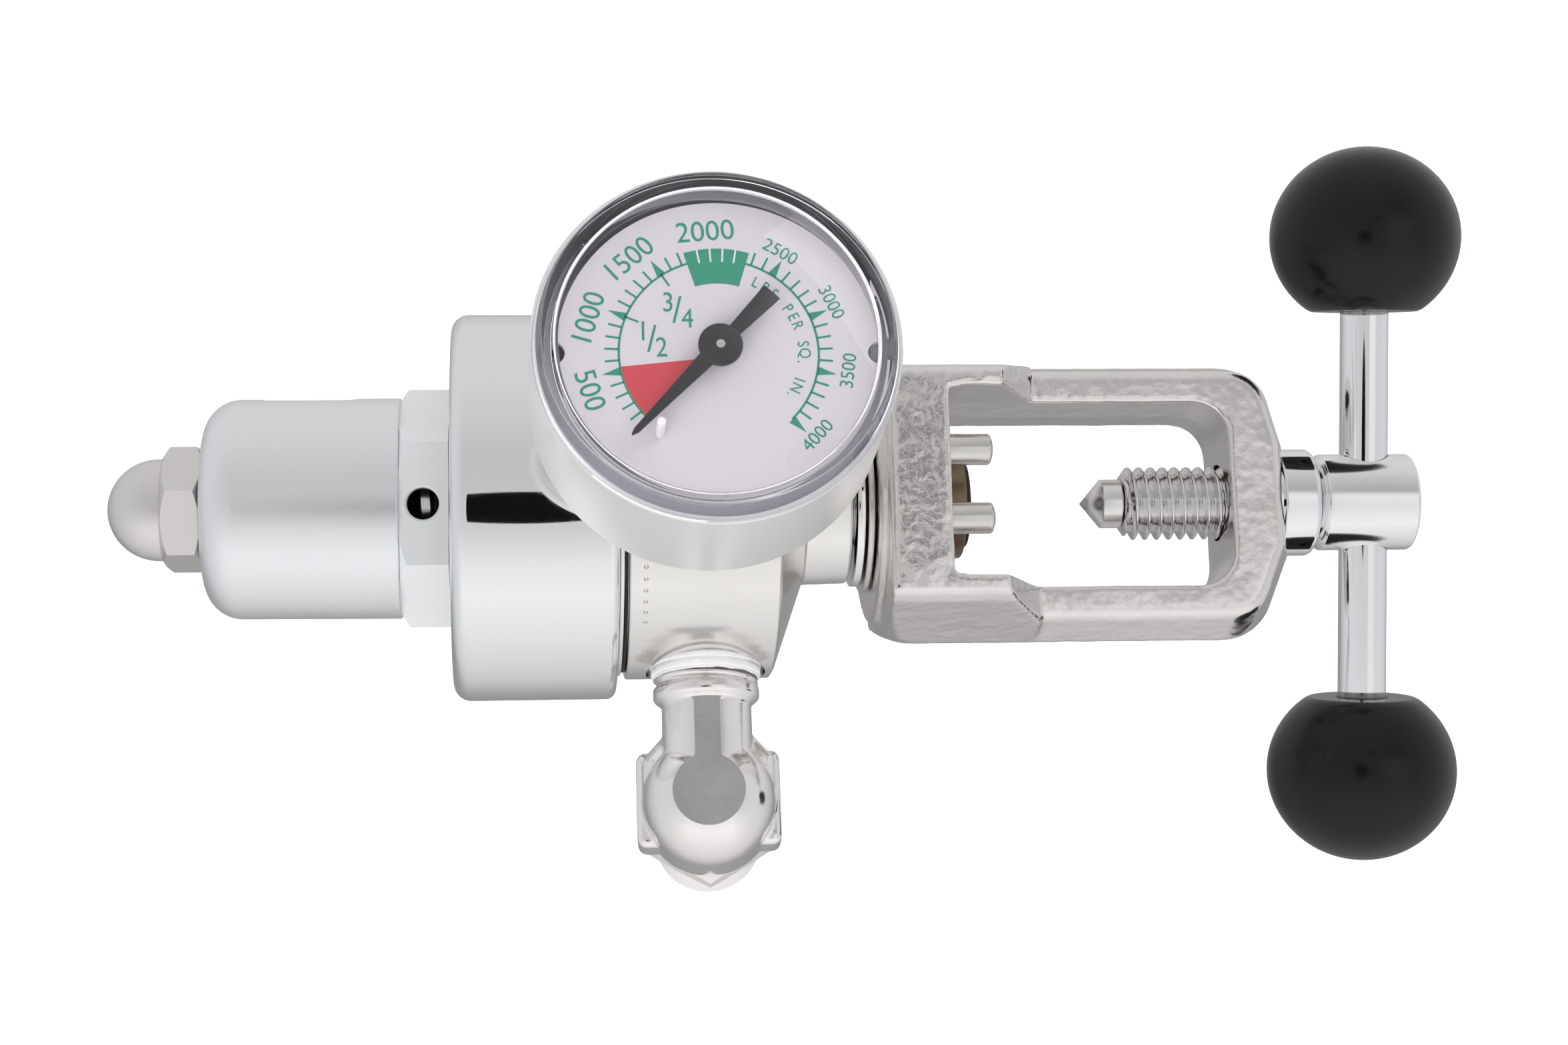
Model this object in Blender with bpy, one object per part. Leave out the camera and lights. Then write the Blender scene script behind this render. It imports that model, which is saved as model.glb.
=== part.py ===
"""Oxygen pressure regulator with a pin-index yoke, a contents gauge and an elbow outlet.

The main axis is +X, from the acorn nut to the clamp screw's T-handle. The gauge looks along +Z and the
outlet leaves along -Y, then turns to -Z. The origin is on the main axis, in the yoke's sealing face.
The named sizes are millimetres, and MM turns them into Blender's metres.
"""

import math

import bmesh
import bpy
from mathutils import Vector

MM = 0.001
MERGE = 0.000001
ROD_PHASE = 0.3  # keeps a rod's edges off those of the turned piece that it cuts or joins

# Angles, in degrees.
YOKE_ROLL = 6.5  # the yoke sits turned by this much on the inlet nipple
BAR_TILT = 13.5  # the T-bar's rest angle from the yoke's height
ACORN_TURN = -31.0  # one flat's direction, from +Z towards +Y
BONNET_TURN = -15.0
SPOT_TURN = 78.0
POINTER_ZERO = -133.5  # the pointer's direction at zero, from +X towards +Y

# Stations along the main axis.
ACORN_TIP = -106.6
ACORN_HEX_LEFT = -99.5
ACORN_RIGHT = -94.6
BONNET_LEFT = -94.3
BONNET_HEX_LEFT = -69.15
BONNET_HEX_RIGHT = -63.3
RING_LEFT = -63.0
RING_RIGHT = -42.4
BODY_LEFT = -41.2
BODY_RIGHT = -22.7
CONE_RIGHT = -18.3
NECK_RIGHT = -12.3
SPIGOT_LEFT = -50.9
YOKE_LEFT = -8.6
WINDOW_LENGTH = 37.1
YOKE_RIGHT = 46.35
BUSHING_RIGHT = 49.65
HUB_LEFT = 49.95
HUB_RIGHT = 63.0
BAR_X = 57.0
BAR_SHIFT = -0.35  # the bar sits this far off the middle of the hub

# Radii and other sizes.
BONNET_RADIUS = 14.0
BONNET_CAVITY = 10.4
RING_RADIUS = 24.8
SPIGOT_RADIUS = 20.05
BODY_RADIUS = 22.3
NECK_RADIUS = 10.15
SOCKET_RADIUS = 5.05
HP_BORE_RADIUS = 4.3
YOKE_HALF_HEIGHT = 18.3
YOKE_ARM_DEPTH = 7.2
YOKE_BLOCK_FRONT = 17.0
YOKE_BLOCK_BACK = -10.0
WINDOW_HALF_HEIGHT = 11.75
WINDOW_DRAFT = 0.35
PIN_RADIUS = 1.985
PIN_CIRCLE = 14.3  # the index pins' distance from the port's centre
PIN_ANGLE = 18.0  # each pin's angle from the middle of the index
PIN_LENGTH = 5.0
SEAL_RADIUS = 7.0
SCREW_MAJOR = 4.78
SCREW_MINOR = 3.86
SCREW_PITCH = 1.5875
HUB_RADIUS = 6.36
BAR_RADIUS = 3.17
BALL_RADIUS = 12.45
BALL_HALF_LENGTH = 11.95
BALL_CENTRE = 35.4
BALL_FLAT = 25.6

# The gauge, around its own axis along Z.
GAUGE_X = -32.5
CASE_RADIUS = 20.4
CASE_BACK = 38.2
CASE_FRONT = 58.0
DIAL_RADIUS = 18.0
DIAL_TOP = 53.85
POINTER_Z = 57.65
LENS_TOP = 62.0
PINION_TEETH = 9
SECTOR_TEETH = 72  # of a full wheel, of which the sector has ten
GEAR_MODULE = 0.3
SECTOR_ANGLE = 60.0  # where the sector's pivot stands around the arbor

# The outlet elbow.
OUTLET_X = -31.1
OUTLET_Y = -38.9
OUTLET_TURN = -3.4  # the elbow is screwed in this far from square, round its inlet
ELBOW_NECK_RADIUS = 5.7
ELBOW_RADIUS = 7.9
ELBOW_FACE = 5.6
TAPE_TOP = -20.8
FITTING_HEX_TOP = -9.2
FITTING_END = -29.5

ROUND_LARGE = 36
ROUND_MEDIUM = 24
ROUND_SMALL = 16

STEEL = (0.62, 0.62, 0.63)
CHROME = (0.80, 0.80, 0.82)
NICKEL = (0.72, 0.70, 0.68)
ALUMINIUM = (0.78, 0.79, 0.81)
BRASS = (0.70, 0.55, 0.30)
BRONZE = (0.45, 0.32, 0.20)
BLACK = (0.02, 0.02, 0.02)
WHITE = (0.85, 0.84, 0.85)


def clear_scene():
    for old in list(bpy.data.objects):
        bpy.data.objects.remove(old)


def empty(name, location=(0, 0, 0), turn_x=0.0):
    """A parent that carries one assembly's own axes."""
    frame = bpy.data.objects.new(name, None)
    frame.location = Vector(location) * MM
    frame.rotation_euler = (math.radians(turn_x), 0, 0)
    bpy.context.scene.collection.objects.link(frame)
    return frame


def point(axis, along, first, second):
    """A point from its place along an axis and its other two coordinates, in X, Y, Z order."""
    places = {"X": (along, first, second), "Y": (first, along, second), "Z": (first, second, along)}
    return Vector(places[axis]) * MM


def direction(axis):
    return point(axis, 1.0, 0.0, 0.0).normalized()


def new_object(name, bm, parent=None):
    """The finished mesh as an object, welded, facing out and shaded smooth between its sharp edges."""
    bmesh.ops.remove_doubles(bm, verts=bm.verts, dist=MERGE)
    bmesh.ops.recalc_face_normals(bm, faces=bm.faces)
    mesh = bpy.data.meshes.new(name)
    bm.to_mesh(mesh)
    bm.free()
    mesh.shade_smooth()
    mesh.set_sharp_from_angle(angle=math.radians(35))
    made = bpy.data.objects.new(name, mesh)
    made.parent = parent
    bpy.context.scene.collection.objects.link(made)
    return made


def turned(name, profile, axis="X", steps=ROUND_MEDIUM, parent=None, ring=False):
    """A solid of revolution from (place along the axis, radius) points.

    The profile runs from the axis to the axis. A ring's profile closes on itself instead.
    """
    bm = bmesh.new()
    corners = [bm.verts.new(point(axis, along, radius, 0.0)) for along, radius in profile]
    if ring:
        corners.append(corners[0])
    edges = [bm.edges.new(pair) for pair in zip(corners, corners[1:])]
    bmesh.ops.spin(
        bm,
        geom=list(bm.verts) + edges,
        cent=(0, 0, 0),
        axis=direction(axis),
        angle=math.tau,
        steps=steps,
        use_merge=True,
    )
    return new_object(name, bm, parent)


def prism(name, outline, axis, start, end, parent=None):
    """An outline in the two other axes, extruded along an axis from start to end."""
    bm = bmesh.new()
    floor = bm.faces.new([bm.verts.new(point(axis, start, *corner)) for corner in outline])
    raised = bmesh.ops.extrude_face_region(bm, geom=[floor])["geom"]
    moved = [item for item in raised if isinstance(item, bmesh.types.BMVert)]
    bmesh.ops.translate(bm, verts=moved, vec=direction(axis) * (end - start) * MM)
    return new_object(name, bm, parent)


def rod(name, radius, axis, start, end, centre=(0.0, 0.0), steps=ROUND_SMALL, parent=None):
    """A plain round rod or drill beside or on the axis."""
    angles = [math.tau * (k + ROD_PHASE) / steps for k in range(steps)]
    outline = [(centre[0] + radius * math.cos(a), centre[1] + radius * math.sin(a)) for a in angles]
    return prism(name, outline, axis, start, end, parent)


def arc(centre, radius, start, end, steps):
    """Points on an arc in the (along, radius) plane, with angles in degrees from the axis direction."""
    angles = [math.radians(start + (end - start) * k / steps) for k in range(steps + 1)]
    return [(centre[0] + radius * math.cos(a), centre[1] + radius * math.sin(a)) for a in angles]


def hexagon(across_flats, flat_angle):
    """A hexagon with one flat facing the given angle, from the first coordinate towards the second."""
    corner = across_flats / math.sqrt(3)
    angles = [math.radians(flat_angle + 30 + 60 * k) for k in range(6)]
    return [(corner * math.cos(a), corner * math.sin(a)) for a in angles]


def facing(turn):
    """A direction given from +Z towards +Y, as the angle from +Y towards +Z that hexagon takes."""
    return 90.0 - turn


def rounded_outline(corners, radii, inset=0.0, steps=3):
    """A convex outline moved inwards by inset, with each corner turned into an arc."""
    count = len(corners)
    points = [Vector(corner) for corner in corners]
    sides = []
    for here, following in zip(points, points[1:] + points[:1]):
        along = (following - here).normalized()
        inwards = Vector((-along.y, along.x))
        sides.append((here + inwards * inset, along, inwards))
    outline = []
    for k in range(count):
        before, after = sides[k - 1], sides[k]
        radius = max(radii[k] - inset, 0.4)
        spread = before[1].cross(after[1])
        offset = after[0] - before[0]
        reach = offset.cross(after[1]) / spread
        corner = before[0] + before[1] * reach
        half = math.acos(max(-1.0, min(1.0, before[1].dot(after[1])))) / 2
        centre = corner - before[1] * radius * math.tan(half) + before[2] * radius
        first = math.atan2(-before[2].y, -before[2].x)
        for step in range(steps + 1):
            angle = first + 2 * half * step / steps
            outline.append((centre.x + radius * math.cos(angle), centre.y + radius * math.sin(angle)))
    return outline


def drafted(name, corners, radii, levels, parent=None, steps=3):
    """A plate along Z whose outline shrinks by the inset that each (height, inset) level gives."""
    bm = bmesh.new()
    rings = []
    for height, inset in levels:
        outline = rounded_outline(corners, radii, inset, steps)
        rings.append([bm.verts.new(Vector((x, y, height)) * MM) for x, y in outline])
    for lower, upper in zip(rings, rings[1:]):
        for k in range(len(lower)):
            bm.faces.new((lower[k - 1], lower[k], upper[k], upper[k - 1]))
    bm.faces.new(rings[0])
    bm.faces.new(rings[-1])
    return new_object(name, bm, parent)


def combine(target, other, operation):
    """Joins, cuts or trims the target with another object, which becomes a helper."""
    modifier = target.modifiers.new(f"{operation.lower()}_{other.name}", "BOOLEAN")
    modifier.operation = operation
    modifier.solver = "EXACT"
    modifier.object = other
    other.hide_render = True
    other.display_type = "WIRE"


def cut(target, *cutters):
    for cutter in cutters:
        combine(target, cutter, "DIFFERENCE")


def join(target, *others):
    for other in others:
        combine(target, other, "UNION")


def paint(target, colour, roughness, metallic, alpha=1.0):
    """The piece's own material."""
    material = bpy.data.materials.new(target.name)
    material.use_nodes = True
    shader = material.node_tree.nodes["Principled BSDF"]
    shader.inputs["Base Color"].default_value = (*colour, 1.0)
    shader.inputs["Roughness"].default_value = roughness
    shader.inputs["Metallic"].default_value = metallic
    shader.inputs["Alpha"].default_value = alpha
    target.data.materials.append(material)


def spring(name, radius, wire, start, end, turns, sides, per_turn, parent=None):
    """A compression spring around the main axis: one section of wire, spun along its helix."""
    bm = bmesh.new()
    angles = [math.tau * k / sides for k in range(sides)]
    section = [point("X", start + wire * math.cos(a), radius + wire * math.sin(a), 0.0) for a in angles]
    face = bm.faces.new([bm.verts.new(corner) for corner in section])
    steps = int(turns * per_turn)
    bmesh.ops.spin(
        bm,
        geom=[face],
        cent=(0, 0, 0),
        axis=(1, 0, 0),
        dvec=(((end - start) / steps) * MM, 0, 0),
        angle=math.tau * steps / per_turn,
        steps=steps,
    )
    made = new_object(name, bm, parent)
    paint(made, STEEL, 0.3, 1.0)
    return made


def threaded_rod(name, start, end, parent=None, steps=14):
    """A right-hand screw thread with its core, from one helix of roots and one of crests."""
    bm = bmesh.new()
    turns = math.ceil((end - start) / SCREW_PITCH) + 1
    count = turns * steps

    def helix(radius, lead, rows):
        made = []
        for k in range(rows):
            angle = math.tau * k / steps
            along = start - SCREW_PITCH + lead + SCREW_PITCH * k / steps
            made.append(bm.verts.new(point("X", along, radius * math.cos(angle), radius * math.sin(angle))))
        return made

    roots = helix(SCREW_MINOR, 0.0, count + steps + 1)
    crests = helix(SCREW_MAJOR, SCREW_PITCH / 2, count + 1)
    for k in range(count):
        bm.faces.new((roots[k], roots[k + 1], crests[k + 1], crests[k]))
        bm.faces.new((crests[k], crests[k + 1], roots[k + steps + 1], roots[k + steps]))
    first = bm.verts.new(point("X", start - SCREW_PITCH, 0.0, 0.0))
    last = bm.verts.new(point("X", start + SCREW_PITCH * turns, 0.0, 0.0))
    for k in range(steps):
        bm.faces.new((roots[k + 1], roots[k], first))
        bm.faces.new((roots[count + k], roots[count + k + 1], last))
    bm.faces.new((first, roots[0], crests[0]))
    bm.faces.new((first, crests[0], roots[steps]))
    bm.faces.new((last, crests[count], roots[count]))
    bm.faces.new((last, roots[count + steps], crests[count]))
    return new_object(name, bm, parent)


def make_setting_end():
    """Acorn nut, adjusting screw, bonnet and the parts that press on the diaphragm."""
    dome_radius = 6.5
    dome = arc((ACORN_TIP + dome_radius, 0.0), dome_radius, 180, 90, 6)
    acorn = turned("acorn_nut", dome + [(ACORN_RIGHT, dome_radius), (ACORN_RIGHT, 0.0)], steps=ROUND_MEDIUM)
    nut = prism("acorn_hex", hexagon(14.3, facing(ACORN_TURN)), "X", ACORN_HEX_LEFT, ACORN_RIGHT)
    chamfer = [(ACORN_HEX_LEFT, 0.0), (ACORN_HEX_LEFT, 6.9), (ACORN_HEX_LEFT + 1.1, 8.3)]
    chamfer += [(ACORN_RIGHT - 0.5, 8.3), (ACORN_RIGHT, 7.7), (ACORN_RIGHT, 0.0)]
    combine(nut, turned("acorn_hex_edge", chamfer), "INTERSECT")
    join(acorn, nut)
    cut(acorn, rod("acorn_thread", 4.25, "X", ACORN_RIGHT - 8.5, ACORN_RIGHT + 1.0))
    paint(acorn, NICKEL, 0.3, 1.0)

    screw = [(-101.9, 0.0), (-101.9, 3.3), (-101.3, 3.9), (-84.6, 3.9), (-82.6, 1.6), (-82.6, 0.0)]
    paint(turned("adjusting_screw", screw, steps=ROUND_SMALL), STEEL, 0.35, 1.0)

    shoulder = 5.8
    outer = [(BONNET_LEFT, 4.2), (BONNET_LEFT, BONNET_RADIUS - shoulder)]
    outer += arc((BONNET_LEFT + shoulder, BONNET_RADIUS - shoulder), shoulder, 180, 90, 5)[1:]
    outer += [(BONNET_HEX_LEFT - 0.9, BONNET_RADIUS + 0.2), (BONNET_HEX_LEFT + 0.1, 12.8)]
    outer += [(BONNET_HEX_RIGHT + 0.1, 12.8), (BONNET_HEX_RIGHT + 0.5, BONNET_RADIUS - 0.1)]
    outer += [(-59.7, BONNET_RADIUS - 0.1), (-59.7, 19.3), (-52.3, 19.3)]
    inner = [(-52.3, 15.2), (-57.5, 15.2), (-57.5, BONNET_CAVITY), (-88.6, BONNET_CAVITY), (-89.6, 9.4)]
    inner += [(-89.6, 4.2)]
    bonnet = turned("spring_bonnet", outer + inner, steps=ROUND_LARGE, ring=True)
    nut = prism("bonnet_hex", hexagon(26.5, facing(BONNET_TURN)), "X", BONNET_HEX_LEFT, BONNET_HEX_RIGHT)
    edge = [(BONNET_HEX_LEFT, 12.0), (BONNET_HEX_LEFT, 13.4), (BONNET_HEX_LEFT + 1.1, 15.4)]
    edge += [(BONNET_HEX_RIGHT, 15.4), (BONNET_HEX_RIGHT, 12.0)]
    combine(nut, turned("bonnet_hex_edge", edge, steps=ROUND_LARGE, ring=True), "INTERSECT")
    join(bonnet, nut)
    vent = rod("vent_drill", 2.0, "Z", 8.0, 18.0, centre=(-66.45, 0.0), steps=24)
    vent.rotation_euler = (math.radians(-BONNET_TURN), 0, 0)
    spot = rod("spot_mill", 6.5, "Z", BONNET_RADIUS - 0.45, 18.0, centre=(-81.0, 0.0), steps=32)
    spot.rotation_euler = (math.radians(-SPOT_TURN), 0, 0)
    cut(bonnet, vent, spot)
    paint(bonnet, ALUMINIUM, 0.32, 1.0)

    button = [(-82.3, 0.0), (-82.9, 5.0), (-82.0, 9.8), (-80.5, 9.8), (-80.5, 6.2), (-77.5, 5.6)]
    button += [(-77.5, 0.0)]
    paint(turned("spring_button", button, steps=24), BRASS, 0.4, 1.0)
    spring("range_spring", 8.0, 1.1, -79.1, -57.6, 5.5, sides=6, per_turn=10)

    plate = [(-60.0, 0.0), (-60.0, 5.2), (-56.2, 5.9), (-56.2, 13.0), (-52.6, 13.0), (-52.6, 0.0)]
    paint(turned("diaphragm_plate", plate, steps=ROUND_MEDIUM), ALUMINIUM, 0.4, 1.0)
    paint(turned("diaphragm", [(-52.1, 0.0), (-52.1, 19.3), (-51.2, 19.3), (-51.2, 0.0)]), BLACK, 0.7, 0.0)


def make_union():
    """The polished union ring and the two thin rings in its seam."""
    outer = [(RING_LEFT, 14.2), (RING_LEFT, RING_RADIUS - 2.2)]
    outer += arc((RING_LEFT + 2.2, RING_RADIUS - 2.2), 2.2, 180, 90, 3)[1:]
    outer += arc((RING_RIGHT - 0.9, RING_RADIUS - 0.9), 0.9, 90, 0, 2)
    inner = [(RING_RIGHT, 20.5), (-60.0, 20.5), (-60.0, 14.2)]
    paint(turned("union_ring", outer + inner, steps=ROUND_LARGE, ring=True), CHROME, 0.08, 1.0)
    seam = [(-42.3, 20.5), (-42.3, 21.8), (-41.8, 21.8), (-41.8, 20.5)]
    paint(turned("seam_ring", seam, ring=True), ALUMINIUM, 0.3, 1.0)
    gasket = [(-41.7, 20.5), (-41.7, 21.4), (-41.3, 21.4), (-41.3, 20.5)]
    paint(turned("dust_gasket", gasket, ring=True), BLACK, 0.6, 0.0)


def make_body():
    """The nickel-plated body with its chambers, ports and passages."""
    outer = [(SPIGOT_LEFT, 15.0), (SPIGOT_LEFT, SPIGOT_RADIUS), (BODY_LEFT, SPIGOT_RADIUS)]
    outer += [(BODY_LEFT, BODY_RADIUS - 0.4), (BODY_LEFT + 0.4, BODY_RADIUS), (BODY_RIGHT - 0.3, BODY_RADIUS)]
    outer += [(BODY_RIGHT, BODY_RADIUS - 0.4), (CONE_RIGHT, NECK_RADIUS + 0.35), (CONE_RIGHT + 0.3, NECK_RADIUS)]
    outer += [(NECK_RIGHT - 0.4, NECK_RADIUS), (NECK_RIGHT, NECK_RADIUS - 0.5)]
    inner = [(NECK_RIGHT, SOCKET_RADIUS), (-20.6, SOCKET_RADIUS), (-20.6, 1.6), (-27.5, 1.6)]
    inner += [(-27.5, HP_BORE_RADIUS), (-47.0, HP_BORE_RADIUS), (-47.0, 15.0)]
    body = turned("regulator_body", outer + inner, steps=ROUND_LARGE, ring=True)
    cut(
        body,
        rod("gauge_port", 5.1, "Z", 14.0, 26.0, centre=(GAUGE_X, 0.0)),
        rod("gauge_passage", 1.3, "Z", 2.0, 15.0, centre=(GAUGE_X, 0.0), steps=12),
        rod("outlet_port", 6.85, "Y", -26.0, -13.0, centre=(OUTLET_X, 0.0), steps=24),
        rod("outlet_spot", 7.6, "Y", -26.0, -19.6, centre=(OUTLET_X, 0.0), steps=24),
        rod("outlet_passage", 1.4, "X", -48.0, -30.0, centre=(-12.6, 0.0), steps=12),
        rod("outlet_link", 1.4, "Y", -14.0, -12.6, centre=(OUTLET_X, 0.0), steps=12),
    )
    paint(body, NICKEL, 0.22, 1.0)


def make_valve():
    """Nozzle, poppet, its spring, and the inlet's filter and nipple."""
    nozzle = [(-46.7, 1.0), (-46.7, 4.0), (-42.6, 4.0), (-42.6, 1.9), (-42.2, 1.3), (-42.2, 1.0)]
    paint(turned("nozzle", nozzle, steps=ROUND_SMALL, ring=True), BRASS, 0.35, 1.0)
    poppet = [(-50.7, 0.0), (-50.7, 0.7), (-41.3, 0.7), (-41.3, 3.0), (-36.6, 3.0), (-36.0, 1.3)]
    poppet += [(-34.0, 1.3), (-34.0, 0.0)]
    paint(turned("poppet", poppet, steps=ROUND_SMALL), STEEL, 0.35, 1.0)
    spring("poppet_spring", 2.2, 0.3, -35.9, -27.9, 4, sides=5, per_turn=8)
    filter_profile = [(-19.4, 0.0), (-19.4, 2.6), (-13.0, 2.6), (-13.0, 0.0)]
    paint(turned("inlet_filter", filter_profile, steps=16), BRONZE, 0.9, 0.6)
    outer = [(-20.0, 2.9), (-20.0, 4.5), (-19.4, 4.9), (-4.6, 4.9), (-4.6, 6.4), (-0.3, 6.4), (-0.3, 3.0)]
    outer += [(3.5, 3.0), (4.0, 2.5)]
    inner = [(4.0, 1.4), (-12.2, 1.4), (-12.2, 2.9)]
    paint(turned("inlet_nipple", outer + inner, steps=20, ring=True), STEEL, 0.25, 1.0)
    lock = [(-11.8, 5.3), (-11.8, 10.6), (-11.0, 10.6), (-10.8, 10.4), (-10.8, 5.3)]
    paint(turned("lock_washer", lock, ring=True), CHROME, 0.25, 1.0)
    thrust = [(-10.5, 5.3), (-10.5, 11.2), (-10.3, 11.4), (-9.7, 11.4), (-9.7, 5.3)]
    paint(turned("thrust_washer", thrust, ring=True), NICKEL, 0.25, 1.0)


def yoke_plate(frame):
    """The two arms and the end wall, widest at the parting line and drafted to both faces."""
    shoulder_x = YOKE_RIGHT - 3.0
    corners = [
        (YOKE_LEFT, -YOKE_HALF_HEIGHT),
        (shoulder_x - 1.7, -YOKE_HALF_HEIGHT),
        (YOKE_RIGHT, -7.0),
        (YOKE_RIGHT, 7.0),
        (shoulder_x, YOKE_HALF_HEIGHT),
        (YOKE_LEFT, YOKE_HALF_HEIGHT),
    ]
    radii = [4.5, 7.0, 3.6, 3.6, 7.0, 4.5]
    half = [(0.3, 0.0), (YOKE_ARM_DEPTH - 1.2, 1.8), (YOKE_ARM_DEPTH, 3.0)]
    levels = [(-height, inset) for height, inset in reversed(half)] + half
    return drafted("yoke", corners, radii, levels, frame)


def yoke_block(frame):
    """The thick end that carries the pins, with its gussets sloping down onto the arms."""
    top, base = YOKE_BLOCK_FRONT, YOKE_BLOCK_BACK
    side = [(YOKE_LEFT + 0.4, base), (-0.6, base), (0.0, base + 0.6), (11.8, 0.0), (11.8, YOKE_ARM_DEPTH - 0.4)]
    side += [(6.3, top - 0.3), (5.9, top), (YOKE_LEFT + 0.4, top), (YOKE_LEFT, top - 0.4), (YOKE_LEFT, base + 0.4)]
    block = prism("yoke_block", side, "Y", -YOKE_HALF_HEIGHT - 1, YOKE_HALF_HEIGHT + 1, frame)
    section = [(14.9, base), (YOKE_HALF_HEIGHT, -0.3), (YOKE_HALF_HEIGHT, 0.3), (15.2, top - 2.2)]
    section += [(14.6, top - 0.8), (13.8, top)]
    section += [(-y, z) for y, z in reversed(section)]
    trim = prism("yoke_block_section", section, "X", YOKE_LEFT - 1, 14.0, frame)
    combine(block, trim, "INTERSECT")
    left, high = YOKE_LEFT - 0.02, YOKE_HALF_HEIGHT + 0.02
    plan = [(left, -high), (14.0, -high), (14.0, high), (left, high)]
    levels = [(base - 2, 0.0), (top + 2, 0.0)]
    combine(block, drafted("yoke_block_plan", plan, [4.5, 0.5, 0.5, 4.5], levels, frame), "INTERSECT")
    return block


def make_yoke(frame):
    """The cast yoke with its window, bores and boss, and the pins pressed into it."""
    yoke = yoke_plate(frame)
    boss = [(-9.5, 0.0), (-9.5, 14.5), (-9.1, 15.4), (-8.6, 15.7), (-7.6, 15.7), (-7.2, 15.2), (-7.2, 0.0)]
    join(yoke, yoke_block(frame), turned("yoke_boss", boss, steps=ROUND_LARGE, parent=frame))
    half = WINDOW_HALF_HEIGHT
    window = [(0.0, -half), (WINDOW_LENGTH, -half), (WINDOW_LENGTH, half), (0.0, half)]
    reach = YOKE_BLOCK_FRONT + 3
    levels = [(-reach, -WINDOW_DRAFT), (0.0, 0.0), (reach, -WINDOW_DRAFT)]
    opening = drafted("yoke_window", window, [1.2, 4.2, 4.2, 1.2], levels, frame)
    rake = [(-0.75, YOKE_BLOCK_FRONT), (-0.8, reach), (1.0, reach), (1.0, 7.5), (0.0, 7.5)]
    pins = []
    for name, side in (("index_pin_upper", 1), ("index_pin_lower", -1)):
        turn = math.radians(PIN_ANGLE * side)
        centre = (PIN_CIRCLE * math.sin(turn), PIN_CIRCLE * math.cos(turn))
        pins.append((name, centre))
    drills = [rod(f"{name}_drill", 2.1, "X", -6.2, 1.0, centre, parent=frame) for name, centre in pins]
    cut(
        yoke,
        opening,
        prism("yoke_wall_rake", rake, "Y", -half, half, frame),
        rod("yoke_bore", 5.3, "X", -12.0, 1.0, steps=24, parent=frame),
        rod("yoke_counterbore", 6.7, "X", -4.9, 1.0, steps=24, parent=frame),
        rod("screw_bore", 5.05, "X", WINDOW_LENGTH - 2, YOKE_RIGHT + 2, steps=24, parent=frame),
        rod("bushing_bore", 6.35, "X", WINDOW_LENGTH + 3, YOKE_RIGHT + 2, steps=24, parent=frame),
        *drills,
    )
    paint(yoke, NICKEL, 0.25, 1.0)

    for name, centre in pins:
        shape = [(-5.9, 0.0), (-5.9, PIN_RADIUS), (PIN_LENGTH - 0.6, PIN_RADIUS)]
        shape += [(PIN_LENGTH - 0.15, PIN_RADIUS - 0.45), (PIN_LENGTH, 0.0)]
        pin = turned(name, shape, steps=ROUND_SMALL, parent=frame)
        pin.location = point("X", 0.0, *centre)
        paint(pin, STEEL, 0.25, 1.0)


def make_seal():
    """The sealing washer: a metal ring with a rubber insert round the nipple's tip."""
    ring = [(0.15, 5.0), (0.15, SEAL_RADIUS), (2.5, SEAL_RADIUS), (2.8, SEAL_RADIUS - 0.3), (2.8, 5.0)]
    paint(turned("seal_ring", ring, ring=True), BRONZE, 0.35, 1.0)
    rubber = [(0.15, 3.3), (0.15, 4.8), (2.9, 4.8), (2.9, 5.6), (3.5, 5.6), (3.5, 3.3)]
    paint(turned("seal_rubber", rubber, ring=True), BLACK, 0.6, 0.0)


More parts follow.
